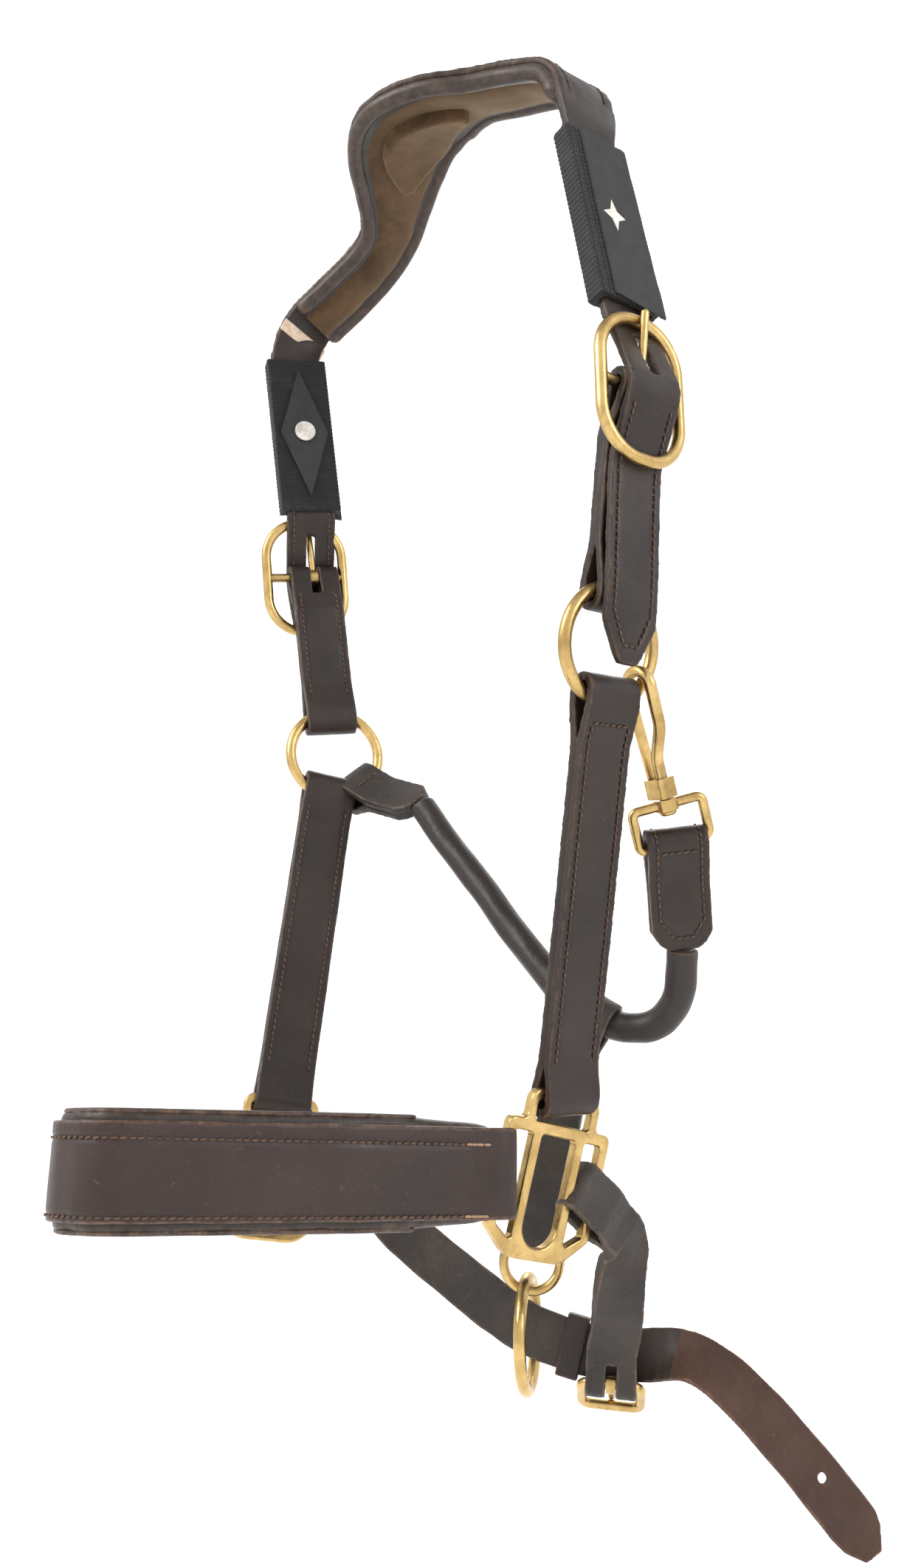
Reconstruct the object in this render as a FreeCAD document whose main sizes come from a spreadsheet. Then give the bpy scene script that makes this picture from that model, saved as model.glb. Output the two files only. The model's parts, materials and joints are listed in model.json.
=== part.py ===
"""Leather headcollar, hung by its crown: +Z up, the nose towards -Y, the horse's near side +X.

The origin is on the underside of the poll pad, where the crown rests when it hangs.
Every side strap is drawn straight in a frame of its own, Z along the strap and Y out
from the horse, and set in place by its Placement.
"""
import FreeCAD
import Part
import math
import os
from FreeCAD import Matrix, Placement, Rotation, Vector

SIZES = {
    # leather
    "leather": 3.2, "strap_width": 25.0, "layer_gap": 0.1,
    "chin_width": 20.0, "chin_leather": 2.8, "connecting_width": 18.0, "connecting_leather": 2.4,
    # cheek rings
    "ring_mid_radius": 22.3, "ring_wire_radius": 2.6,
    "near_ring_x": 93.0, "near_ring_y": 1.0, "near_ring_z": -280.0,
    "off_ring_x": -113.0, "off_ring_y": 30.0, "off_ring_z": -282.0,
    "near_outward_deg": 83.0, "off_outward_deg": 244.0,
    # buckles on the crown
    "chape_length": 98.0, "chape_offset": 5.0, "buckle_width": 45.0, "buckle_height": 62.0,
    "buckle_wire_radius": 2.5, "off_frame_shift": -4.0, "buckle_corner": 18.0,
    "buckle_tilt_deg": 10.5,
    "bar_radius": 2.2, "tongue_radius": 1.7, "tongue_root_radius": 4.2, "tongue_width": 4.0,
    "tongue_slot": 5.0, "billet_slot": 5.0,
    "near_sleeve_tilt_deg": 22.0, "off_sleeve_tilt_deg": 1.0,
    "near_billet_length": 126.4, "off_billet_length": 123.6, "billet_tail": 106.0,
    "off_billet_tail": 40.0,
    # sleeves on the billets
    "sleeve_length": 86.0, "sleeve_width": 31.0, "sleeve_wall": 2.2, "sleeve_fit": 0.4,
    "near_sleeve_foot": 35.5, "off_sleeve_foot": 32.0, "cover_thickness": 0.9,
    "plate_length": 72.0, "plate_width": 25.0, "plate_thickness": 1.8,
    "stud_radius": 5.3, "stud_height": 1.6, "emblem_radius": 8.0, "emblem_thickness": 0.35,
    # cheekpieces and squares
    "cheek_length": 174.0, "square_wire": 4.6, "square_fillet": 1.1, "slot_bar_height": 12.0,
    "slot_bar_radius": 2.25, "square_half_width": 25.0, "leg_centre": 23.0, "leg_height": 38.0,
    "square_depth": 48.0, "band_drop": 19.3,
    # noseband
    "nose_width": 32.0, "nose_leather": 3.0, "padding_height": 37.0, "padding_depth": 7.0,
    "lining_thickness": 1.3, "nose_depth": 134.0, "nose_shift": 3.0, "nose_radius": 17.0,
    "side_bulge": 9.0,
    # crown
    "crown_leather": 2.8, "crown_padding": 5.0, "crown_lining": 1.4, "poll_pad_depth": 5.5,
    "poll_pad_width": 34.0, "band_thickness": 1.2,
    "band_height": 6.0,
    # rolled throat and snap
    "roll_radius": 6.0, "core_radius": 3.2, "tab_leather": 3.6, "tab_width": 24.0,
    "off_tab_width": 20.0, "roll_end_gap": 2.6,
    "eye_width": 33.0, "eye_height": 16.0, "eye_wire": 2.0,
    "hook_wire": 2.4, "hook_reach": 6.6, "gate_thickness": 1.2, "gate_width": 4.5,
    # connecting strap, dee and lead ring
    "dee_wire": 2.0, "dee_half_width": 11.6, "dee_drop": 20.0,
    "lead_mid_radius": 21.6, "lead_wire_radius": 2.5,
    # chin buckle and keeper
    "chin_frame_width": 28.0, "chin_frame_height": 25.0, "chin_frame_tilt_deg": 139.0,
    "chin_frame_wire": 2.0, "chin_bar_drop": 10.3, "chin_fold_lean_deg": 15.0,
    "chin_drop": 15.0, "chape_drop": 8.0, "chape_slant_deg": 30.0,
    "keeper_width": 9.0, "keeper_wall": 1.8,
}

# Crown stations from the near billet over the poll to the off billet: place, width and the
# direction across the strap (towards the back) as an angle above the horizontal.
CROWN = [
    (88.0, -3.0, -58.0, 27.0, 0.0),
    (86.0, 0.0, -38.0, 33.0, 3.0),
    (77.0, 3.5, -21.0, 38.0, 8.0),
    (60.0, 3.5, -9.0, 39.0, 12.0),
    (36.0, -1.5, -2.0, 45.0, 15.0),
    (14.0, -8.0, 3.0, 57.0, 18.0),
    (-8.0, -9.0, 4.5, 65.0, 18.0),
    (-27.0, -2.0, 3.5, 59.0, 18.0),
    (-43.0, 8.0, -0.5, 47.0, 16.0),
    (-57.0, 17.5, -5.5, 38.0, 15.0),
    (-70.0, 24.0, -12.5, 33.0, 14.0),
    (-84.0, 24.0, -22.0, 32.0, 12.0),
    (-101.0, 18.5, -34.5, 31.5, 8.0),
    (-117.0, 12.0, -47.0, 29.5, 3.0),
    (-126.4, 8.2, -60.6, 27.0, 0.0),
]

# Rolled throat, from the off tab under the jaw to the near tab.
ROLL = [
    (-54.0, 37.0, -316.0),
    (-39.0, 40.0, -336.0),
    (-22.0, 42.0, -354.0),
    (-6.0, 43.0, -373.0),
    (13.0, 44.0, -393.0),
    (29.0, 46.0, -410.0),
    (46.0, 55.0, -421.0),
    (62.0, 62.0, -421.0),
    (74.0, 62.0, -410.0),
    (79.0, 58.0, -391.0),
]

# Rivet of the throat snap, where the connecting strap hangs, and the dee's bar and lean.
RIVET = Vector(89.0, 38.0, -336.0)
ROLL_HANGER = (37.5, 50.5, -415.5)
DEE_BAR = (4.3, 49.5, -507.0)
DEE_UP = (0.12, 0.12, 0.98)

# Chin strap and its free tail: place and the direction that the leather's face looks.
CHIN = [
    (-64.0, 21.5, -493.0, 0.6, -0.76, 0.22),
    (-54.0, 28.5, -507.0, 0.61, -0.74, 0.25),
    (-34.0, 39.0, -523.0, 0.64, -0.74, 0.15),
    (-8.0, 49.5, -540.0, 0.6, -0.79, 0.08),
    (8.0, 59.0, -547.0, 0.66, -0.75, 0.06),
    (20.0, 68.0, -550.5, 0.66, -0.75, 0.05),
    (33.0, 78.0, -551.5, 0.62, -0.76, 0.12),
    (46.0, 84.0, -550.0, 0.55, -0.72, 0.4),
    (58.0, 87.0, -551.0, 0.58, -0.6, 0.55),
    (71.0, 91.5, -559.0, 0.66, -0.6, 0.45),
    (85.0, 98.5, -574.0, 0.72, -0.62, 0.3),
    (97.0, 106.0, -590.0, 0.74, -0.62, 0.22),
    (107.0, 112.0, -604.0, 0.74, -0.62, 0.22),
    (113.0, 117.0, -616.0, 0.74, -0.62, 0.22),
]

# Near chin chape, from the near square's rear leg down to the chin buckle.
CHAPE = [
    (52.3, 49.5, -506.0, 0.93, -0.28, 0.15),
    (48.6, 51.5, -515.0, 0.88, -0.4, 0.08),
    (44.6, 54.5, -524.5, 0.8, -0.55, 0.0),
    (40.3, 58.3, -533.5, 0.71, -0.67, -0.1),
    (36.3, 61.8, -541.0, 0.63, -0.74, -0.2),
]

# Along the chin strap, by x: the buckle's middle and the keeper's.
CHIN_BUCKLE = 25.5
KEEPER = 12.8

doc = FreeCAD.newDocument("headcollar")
sheet = doc.addObject("Spreadsheet::Sheet", "Sizes")
for row, (alias, value) in enumerate(SIZES.items(), start=1):
    sheet.set("A%d" % row, alias)
    sheet.set("B%d" % row, str(value))
    sheet.setAlias("B%d" % row, alias)
doc.recompute()


def size(alias):
    """A driving dimension, read from the sheet."""
    return float(sheet.get(alias))


LEATHER = size("leather")
HALF_PAIR = (LEATHER + size("layer_gap")) / 2
TOUCH = 0.4
RUNNING = 0.08
TONGUE_GAP = 0.25
parts = []


# ---- frames -----------------------------------------------------------------

def unit(vector):
    return vector / vector.Length


def axes_frame(origin, up, outward):
    """Placement with Z along up and Y as near to outward as that allows."""
    z = unit(up)
    y = unit(outward - z * outward.dot(z))
    x = y.cross(z)
    return Placement(Matrix(x.x, y.x, z.x, origin.x, x.y, y.y, z.y, origin.y,
                            x.z, y.z, z.z, origin.z, 0, 0, 0, 1))


def heading(degrees):
    """Level direction at an angle from the nose, turning towards the near side."""
    angle = math.radians(degrees)
    return Vector(math.sin(angle), -math.cos(angle), 0)


def moved(frame, x=0.0, y=0.0, z=0.0):
    return frame * Placement(Vector(x, y, z), Rotation())


def turned(frame, axis, degrees):
    return frame * Placement(Vector(), Rotation(axis, degrees))


X_AXIS = Vector(1, 0, 0)
Y_AXIS = Vector(0, 1, 0)
Z_AXIS = Vector(0, 0, 1)


# ---- outlines: straight runs joined by tangent arcs --------------------------

def corner(before, at, after, radius):
    """Start, end, centre and side of the arc that rounds one corner."""
    into = unit(at - before)
    out = unit(after - at)
    turn = math.atan2(into.x * out.y - into.y * out.x, into.dot(out))
    if radius <= 0 or abs(turn) < 1e-6:
        return at, at, None, 0
    side = math.copysign(1.0, turn)
    reach = radius * math.tan(abs(turn) / 2)
    start = at - into * reach
    centre = start + Vector(-into.y, into.x, 0) * (radius * side)
    return start, at + out * reach, centre, side


def offset_path(points, radii, distance, closed=False):
    """The rounded path moved to its left, as edges."""
    points = [Vector(p[0], p[1], 0) for p in points]
    count = len(points)
    rounds = []
    for i, at in enumerate(points):
        if not closed and i in (0, count - 1):
            rounds.append((at, at, None, 0))
            continue
        rounds.append(corner(points[i - 1], at, points[(i + 1) % count], radii[i]))
    edges = []
    for i in range(count if closed else count - 1):
        begin = rounds[i]
        end = rounds[(i + 1) % count]
        run = end[0] - begin[1]
        left = Vector(-run.y, run.x, 0)
        left = left / left.Length if left.Length > 1e-9 else Vector()
        if begin[2] is not None:
            scale = (radii[i] - begin[3] * distance) / radii[i]
            first = begin[2] + (begin[0] - begin[2]) * scale
            last = begin[2] + (begin[1] - begin[2]) * scale
            middle = unit((first - begin[2]) + (last - begin[2])) * (radii[i] * scale)
            edges.append(("arc", first, begin[2] + middle, last))
        if run.Length > 1e-6:
            edges.append(("run", begin[1] + left * distance, end[0] + left * distance))
    return edges


def ends(edges):
    return edges[0][1], edges[-1][-1]


def ribbon(points, radii, low, high, closed=False):
    """Loops of edges round the strip between two offsets of one path."""
    left = offset_path(points, radii, high, closed)
    right = offset_path(points, radii, low, closed)
    if closed:
        return [left, right]
    cap_a = ("run", ends(right)[0], ends(left)[0])
    cap_b = ("run", ends(left)[1], ends(right)[1])
    return [left + [cap_a] + right + [cap_b]]


def polygon(points):
    corners = [Vector(p[0], p[1], 0) for p in points]
    return [[("run", a, b) for a, b in zip(corners, corners[1:] + corners[:1])]]


# ---- PartDesign bodies -------------------------------------------------------

def add_sketch(body, name, loops, plane):
    sketch = body.newObject("Sketcher::SketchObject", name)
    support = [f for f in body.Origin.OriginFeatures if f.Role == plane][0]
    sketch.AttachmentSupport = [(support, "")]
    sketch.MapMode = "FlatFace"
    for loop in loops:
        for edge in loop:
            if edge[0] == "run":
                sketch.addGeometry(Part.LineSegment(edge[1], edge[2]))
            else:
                sketch.addGeometry(Part.Arc(edge[1], edge[2], edge[3]))
    return sketch


def padded_body(label, loops, width, frame, plane="YZ_Plane"):
    """Body padded both ways from its sketch; width is an expression on the sheet."""
    body = doc.addObject("PartDesign::Body", label)
    body.Label = label
    sketch = add_sketch(body, label + "_outline", loops, plane)
    pad = body.newObject("PartDesign::Pad", label + "_pad")
    pad.Profile = sketch
    pad.Midplane = True
    pad.setExpression("Length", width)
    body.Placement = frame
    doc.recompute()
    parts.append(body)
    return body


def cut_through(body, name, loops, plane, depth="200 mm"):
    """Pocket both ways from a plane, with the volume compared."""
    before = body.Shape.Volume
    sketch = add_sketch(body, name + "_outline", loops, plane)
    pocket = body.newObject("PartDesign::Pocket", name)
    pocket.Profile = sketch
    pocket.Midplane = True
    pocket.setExpression("Length", depth)
    doc.recompute()
    if body.Shape.Volume >= before:
        raise RuntimeError("%s cut nothing" % name)


def round_edges(body, name, radius, half_thickness):
    """Fillet the rims of the two flat faces, half_thickness either side of the XZ plane."""
    base = body.Tip
    rims = []
    for i, edge in enumerate(base.Shape.Edges, start=1):
        middle = edge.valueAt((edge.FirstParameter + edge.LastParameter) / 2)
        if abs(abs(middle.y) - half_thickness) < 0.01:
            rims.append("Edge%d" % i)
    fillet = body.newObject("PartDesign::Fillet", name)
    fillet.Base = (base, rims)
    fillet.setExpression("Radius", radius)
    doc.recompute()


def keep(obj, label, frame=None):
    obj.Label = label
    if frame is not None:
        obj.Placement = frame
    parts.append(obj)
    return obj


def feature(label, shape, frame=None):
    obj = doc.addObject("Part::Feature", label)
    obj.Shape = shape
    return keep(obj, label, frame)


def torus(label, mid_radius, wire_radius, frame):
    """Ring whose axis is the frame's Y."""
    ring = doc.addObject("Part::Torus", label)
    ring.setExpression("Radius1", mid_radius)
    ring.setExpression("Radius2", wire_radius)
    return keep(ring, label, turned(frame, X_AXIS, 90))


def rod(start, end, radius):
    return Part.makeCylinder(radius, (end - start).Length, start, end - start)


def round_wire(points, radii, radius, closed=False):
    """Solid of round section along a planar path given as (x, z) points."""
    edges = []
    for edge in offset_path(points, radii, 0.0, closed):
        place = [Vector(p.x, 0, p.y) for p in edge[1:]]
        if edge[0] == "run":
            edges.append(Part.LineSegment(*place).toShape())
        else:
            edges.append(Part.Arc(*place).toShape())
    return pipe(edges, radius)


def pipe(edges, radius):
    path = Part.Wire(edges)
    first = path.OrderedEdges[0]
    start = first.valueAt(first.FirstParameter)
    tangent = first.tangentAt(first.FirstParameter)
    ring = Part.Wire(Part.makeCircle(radius, start, tangent))
    return path.makePipeShell([ring], True, False)


# ---- straps folded round fittings --------------------------------------------

def eye_half(place, toward, hole, slack, leather=LEATHER, neck=11.0, bend=9.0, ahead=0.0):
    """One folded end: path points beside the double strap, round the fitting and back.

    place is the fitting's middle, toward is +1 when the strap runs up from it, and slack
    lengthens the hole away from the strap.
    """
    y, z = place
    pair = (leather + size("layer_gap")) / 2
    reach = hole + leather / 2
    waist = z + toward * (reach + neck + ahead)
    shoulder = z + toward * (1.0 + ahead)
    tip = z - toward * (slack + reach)
    points = [(y - pair, waist), (y - reach, shoulder), (y - reach, tip),
              (y + reach, tip), (y + reach, shoulder), (y + pair, waist)]
    radii = [bend, bend, reach, reach, bend, bend]
    return points, radii


def folded_strap(label, low, high, low_hole, high_hole, low_slack, high_slack, width, frame,
                 shift=0.0, leather=LEATHER, low_side=0.0, high_side=0.0):
    """Strap that turns round two fittings, at heights low and high in its frame.

    low_side and high_side are the fittings' places across the strap's thickness.
    """
    down, down_radii = eye_half((low_side, low), 1, low_hole, low_slack, leather)
    up_bend = 3.0 if shift else 9.0
    up, up_radii = eye_half((high_side, high), -1, high_hole, high_slack, leather, bend=up_bend)
    up = [(y + shift, z) if 0 < i < 5 else (y, z - abs(shift)) for i, (y, z) in enumerate(up)]
    points = down + [up[5], up[4], up[3], up[2], up[1], up[0]]
    radii = down_radii + up_radii
    loops = ribbon(points, radii, -leather / 2, leather / 2, closed=True)
    return padded_body(label, loops, width, frame)


# ---- one side: chape, buckle, billet, sleeve, ring, cheekpiece and square ----

def frame_outline():
    """Corners and radii of the buckle frame's middle line, as (x, z)."""
    half_w = (size("buckle_width") - 2 * size("buckle_wire_radius")) / 2
    half_h = (size("buckle_height") - 2 * size("buckle_wire_radius")) / 2
    points = [(-half_w, -half_h), (half_w, -half_h), (half_w, half_h), (-half_w, half_h)]
    return points, [size("buckle_corner")] * 4


def buckle(prefix, bar_frame):
    points, radii = frame_outline()
    shift = size("off_frame_shift") if prefix == "off" else 0.0
    tilted = turned(moved(bar_frame, x=shift), X_AXIS, size("buckle_tilt_deg"))
    loop = round_wire(points, radii, size("buckle_wire_radius"), closed=True)
    half = points[1][0]
    bar = rod(Vector(-half, 0, 0), Vector(half, 0, 0), size("bar_radius"))
    feature(prefix + "_buckle_frame", loop.fuse(bar).removeSplitter(), tilted)
    return moved(tilted, x=-shift)


def tongue(label, frame, reach, rest, radius, root, bar, width):
    """Tongue hinged on a bar: a rolled root and a shank that rests on the frame's rim."""
    hub = Part.makeCylinder(root, width, Vector(-width / 2, 0, 0), X_AXIS)
    shank = rod(Vector(0, 0, 0), Vector(0, rest, reach), radius)
    tip = Part.makeSphere(radius, Vector(0, rest, reach))
    bore = Part.makeCylinder(bar + RUNNING, width + 2, Vector(-width / 2 - 1, 0, 0), X_AXIS)
    solid = hub.fuse([shank, tip]).cut(bore)
    return feature(label, solid.removeSplitter(), frame)


def billet_path(tilt_deg, length, tail):
    """Billet's middle line in the bar's frame, as (y, z) from the free end upwards."""
    tilt = math.radians(tilt_deg)
    crest = (8.9, 0.0)
    behind_foot = (0.6, -30.0)
    behind_head = (-10.6, 29.5)
    points = [(5.4, -tail), (4.6, -tail * 0.72), behind_foot, crest, behind_head]
    radii = [0, 60, 26, 12, 10, 0]
    run = length - behind_head[1]
    points.append((behind_head[0] - run * math.sin(tilt), behind_head[1] + run * math.cos(tilt)))
    return points, radii


def billet(prefix, bar_frame, tilt_deg, length, tail):
    points, radii = billet_path(tilt_deg, length, tail)
    if tail < 60:
        points = [(1.6, -tail)] + points[2:]
        radii = radii[1:]
        radii[0] = 0
    body = padded_body(prefix + "_billet", ribbon(points, radii, -LEATHER / 2, LEATHER / 2),
                       "Sizes.strap_width", bar_frame)
    slot = size("billet_slot") / 2
    cut_through(body, prefix + "_tongue_hole",
                polygon([(-slot, 4.5), (slot, 4.5), (slot, 21.5), (-slot, 21.5)]), "XZ_Plane")
    half = size("strap_width") / 2
    tip = -tail - 1.0
    trims = polygon([(-half - 1, tip), (-3.5, tip), (-6.0, -tail + 2.5), (-half - 1, -tail + 17)])
    trims += polygon([(half + 1, tip), (3.5, tip), (6.0, -tail + 2.5), (half + 1, -tail + 17)])
    cut_through(body, prefix + "_tip_trim", trims, "XZ_Plane")
    return body


def sleeve(prefix, bar_frame, tilt_deg, foot):
    """Woven sleeve on the billet: web, outer cover, emblem, inner plate and stud."""
    tilt = math.radians(tilt_deg)
    behind_head = (-10.6, 29.5)
    run = foot - behind_head[1]
    frame = moved(bar_frame, y=behind_head[0] - run * math.sin(tilt),
                  z=behind_head[1] + run * math.cos(tilt))
    frame = turned(frame, X_AXIS, tilt_deg)
    length = size("sleeve_length")
    inner_x = size("strap_width") / 2 + size("sleeve_fit")
    inner_y = LEATHER / 2 + size("sleeve_fit")
    wall = size("sleeve_wall")
    outer_x = size("sleeve_width") / 2
    outer_y = inner_y + wall
    loops = polygon([(-outer_x, -outer_y), (outer_x, -outer_y), (outer_x, outer_y),
                     (-outer_x, outer_y)])
    loops += polygon([(-inner_x, -inner_y), (inner_x, -inner_y), (inner_x, inner_y),
                      (-inner_x, inner_y)])
    middle = moved(frame, z=length / 2)
    padded_body(prefix + "_sleeve_web", loops, "Sizes.sleeve_length", middle, "XY_Plane")

    def raised(label, loops, thickness, y, height):
        base = moved(middle, y=y, z=height)
        return padded_body(prefix + label, loops, thickness, base, "XZ_Plane")

    cover = size("cover_thickness")
    front = 1 if prefix == "near" else -1
    half = length / 2
    flap = [(front * (outer_x - 6.5), half), (-front * outer_x, half - 2),
            (-front * (outer_x + 2.0), -half - 2.0), (front * (outer_x - 6.5), -half + 1.5)]
    raised("_sleeve_cover", polygon(flap), "Sizes.cover_thickness", outer_y + 0.02 + cover / 2, 0)
    thin = size("emblem_thickness")
    star = []
    for i in range(8):
        reach = size("emblem_radius") * (1.0 if i % 2 == 0 else 0.42)
        star.append((reach * 0.72 * math.cos(i * math.pi / 4), reach * math.sin(i * math.pi / 4)))
    raised("_sleeve_emblem", polygon(star), "Sizes.emblem_thickness",
           outer_y + 0.04 + cover + thin / 2, 0)
    plate = size("plate_thickness")
    w, h = size("plate_width") / 2, size("plate_length") / 2
    body = raised("_sleeve_plate", polygon([(-w, 0), (0, -h), (w, 0), (0, h)]),
                  "Sizes.plate_thickness", -outer_y - 0.02 - plate / 2, 0)
    stud = Part.makeCylinder(size("stud_radius"), size("stud_height"),
                             Vector(0, -outer_y - 0.04 - plate, 0), -Y_AXIS)
    stud = stud.makeFillet(0.7, [e for e in stud.Edges if e.Length > 20][1:2])
    feature(prefix + "_sleeve_stud", stud, middle)
    return body


def square_loops():
    half = size("square_half_width")
    bar = size("square_wire") / 2
    top = size("slot_bar_height") + size("slot_bar_radius")
    loop_half, window_half = 17.0, 13.2
    window_top = size("slot_bar_height") - size("slot_bar_radius")
    leg, depth = size("leg_height"), size("square_depth")
    outline = [(-loop_half, top), (loop_half, top), (loop_half, bar), (half, bar), (half, -leg),
               (13.0, -depth), (-13.0, -depth), (-half, -leg), (-half, bar), (-loop_half, bar)]
    radii = [5.0, 5.0, 2.5, 3.0, 4.0, 12.0, 12.0, 4.0, 3.0, 2.5]
    loops = [offset_path(outline, radii, 0.0, True)]
    loops.append(offset_path([(-window_half, bar), (window_half, bar), (window_half, window_top),
                              (-window_half, window_top)], [1.2] * 4, 0.0, True))
    loops.append(offset_path([(-8.5, -bar), (8.5, -bar), (8.5, -depth + 4.6),
                              (-8.5, -depth + 4.6)], [1.5, 1.5, 8.5, 8.5], 0.0, True))
    for side in (-1, 1):
        slot = [(side * 12.7, -bar), (side * 21.0, -bar), (side * 21.0, -leg + 1.4),
                (side * 12.7, -leg - 4.0)]
        loops.append(offset_path(slot, [1.4] * 4, 0.0, True))
    return loops


def in_plane(ring, frame, height):
    """How far along Y a frame's point at a height has to move to lie in a ring's plane."""
    axle = ring.Rotation.multVec(Y_AXIS)
    along, through = (frame.Rotation.multVec(axis).dot(axle) for axis in (Z_AXIS, Y_AXIS))
    return -height * along / through


def side(prefix, ring_centre, outward, chape_up, cheek_down, square_down):
    ring = axes_frame(ring_centre, chape_up - cheek_down, outward)
    torus(prefix + "_cheek_ring", "Sizes.ring_mid_radius", "Sizes.ring_wire_radius", ring)

    mid, wire = size("ring_mid_radius"), size("ring_wire_radius")
    half = size("strap_width") / 2
    sag = mid - wire - math.sqrt((mid - wire) ** 2 - half * half)
    hole = wire + 1.5 * TOUCH

    chape_frame = axes_frame(ring_centre, chape_up, outward)
    chape = folded_strap(prefix + "_buckle_strap", mid, size("chape_length"), hole,
                         size("bar_radius") + 0.3, sag, 0.2, "Sizes.strap_width",
                         chape_frame, shift=size("chape_offset"),
                         low_side=in_plane(ring, chape_frame, mid))
    gap = size("tongue_slot") / 2
    bar_height = size("chape_length")
    cut_through(chape, prefix + "_tongue_slot",
                polygon([(-gap, bar_height - 11), (gap, bar_height - 11),
                         (gap, bar_height + 9), (-gap, bar_height + 9)]), "XZ_Plane")

    bar_frame = moved(chape_frame, y=size("chape_offset"), z=bar_height)
    tilted = buckle(prefix, bar_frame)
    rim = (size("buckle_height") - 2 * size("buckle_wire_radius")) / 2
    rest = size("buckle_wire_radius") + size("tongue_radius") + TONGUE_GAP
    tongue(prefix + "_buckle_tongue", tilted, rim + 1.5, rest, size("tongue_radius"),
           size("tongue_root_radius"), size("bar_radius"), size("tongue_width"))

    near = prefix == "near"
    tilt = size(prefix + "_sleeve_tilt_deg")
    billet(prefix, bar_frame, tilt, size(prefix + "_billet_length"),
           size("billet_tail") if near else size("off_billet_tail"))
    sleeve(prefix, bar_frame, tilt, size(prefix + "_sleeve_foot"))

    cheek_frame = axes_frame(ring_centre, -cheek_down, outward)
    folded_strap(prefix + "_cheekpiece", -size("cheek_length"), -mid,
                 size("slot_bar_radius") + 0.75, hole, 0.0, sag, "Sizes.strap_width",
                 cheek_frame, high_side=in_plane(ring, cheek_frame, -mid))

    slot_bar = cheek_frame.multVec(Vector(0, 0, -size("cheek_length")))
    square_frame = axes_frame(slot_bar, -square_down, outward)
    square_frame = moved(square_frame, z=-size("slot_bar_height"))
    body = padded_body(prefix + "_square", square_loops(), "Sizes.square_wire", square_frame,
                       "XZ_Plane")
    round_edges(body, prefix + "_square_rounds", "Sizes.square_fillet", size("square_wire") / 2)
    return {"ring": ring, "chape": chape_frame, "bar": bar_frame, "buckle": tilted,
            "cheek": cheek_frame, "square": square_frame}


# ---- noseband ---------------------------------------------------------------

def fold_round_leg(leg, forward, side_out):
    """Path points of the band's outer leather from its turned end, round a leg, to the run."""
    def at(along, out):
        return (leg.x + forward.x * along + side_out.x * out,
                leg.y + forward.y * along + side_out.y * out)
    pair = (size("nose_leather") + size("layer_gap")) / 2
    reach = 3.2 + size("nose_leather") / 2
    points = [at(30, -pair), at(14, -pair), at(3, -reach), at(-reach, -reach), at(-reach, reach),
              at(3, reach), at(14, pair)]
    return points, [0, 12, 8, reach, reach, 8, 12]


def noseband(near_square, off_square):
    near_leg = near_square.multVec(Vector(size("leg_centre"), 0, -size("band_drop")))
    off_leg = off_square.multVec(Vector(-size("leg_centre"), 0, -size("band_drop")))
    across = unit(near_leg - off_leg)
    middle = (near_leg + off_leg) * 0.5
    up = unit(Vector(0.0, 0.05, 0.99))
    up = unit(up - across * up.dot(across))
    band = axes_frame(middle, up, up.cross(across))
    half = (near_leg - off_leg).Length / 2
    nose = Vector(size("nose_shift"), -size("nose_depth"), 0)
    near = Vector(half, 0, 0)
    off = Vector(-half, 0, 0)
    bulge = size("side_bulge")
    near_side = Vector(half * 0.62 + bulge, -size("nose_depth") * 0.42, 0)
    off_side = Vector(-half * 0.62 - bulge, -size("nose_depth") * 0.42, 0)
    near_forward = unit(near_side - near)
    off_forward = unit(off_side - off)
    near_out = Vector(-near_forward.y, near_forward.x, 0)
    off_out = Vector(off_forward.y, -off_forward.x, 0)
    lay = (size("nose_leather") + size("layer_gap")) / 2
    near_side += near_out * lay
    off_side += off_out * lay
    start, start_radii = fold_round_leg(near, near_forward, near_out)
    finish, finish_radii = fold_round_leg(off, off_forward, off_out)
    nose_near = nose + Vector(13.0, 0, 0)
    nose_off = nose - Vector(13.0, 0, 0)
    run = [(near_side.x, near_side.y), (nose_near.x, nose_near.y), (nose_off.x, nose_off.y),
           (off_side.x, off_side.y)]
    run_radii = [140, size("nose_radius"), size("nose_radius"), 140]
    points = start + run + finish[::-1]
    radii = start_radii + run_radii + finish_radii[::-1]
    thick = size("nose_leather")
    padded_body("noseband_outer", ribbon(points, radii, -thick / 2, thick / 2),
                "Sizes.nose_width", band, "XY_Plane")
    first = near + near_forward * 34
    last = off + off_forward * 34
    inner_points = [(first.x, first.y)] + run + [(last.x, last.y)]
    inner_radii = [0] + run_radii + [0]
    skin = thick / 2 + 0.1
    depth = size("padding_depth")
    lining = size("lining_thickness")
    padded_body("noseband_padding",
                ribbon(inner_points, inner_radii, -skin - depth, -skin),
                "Sizes.padding_height", band, "XY_Plane")
    body = padded_body("noseband_lining",
                       ribbon(inner_points, inner_radii, -skin - depth - lining, -skin),
                       "Sizes.padding_height + 2 * Sizes.lining_thickness", band, "XY_Plane")
    cut_through(body, "noseband_hollow",
                ribbon(inner_points, inner_radii, -skin - depth - 0.02, -skin + 0.5),
                "XY_Plane", "Sizes.padding_height + 0.04")
    return band


# ---- ruled strips along a row of stations -----------------------------------

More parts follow.
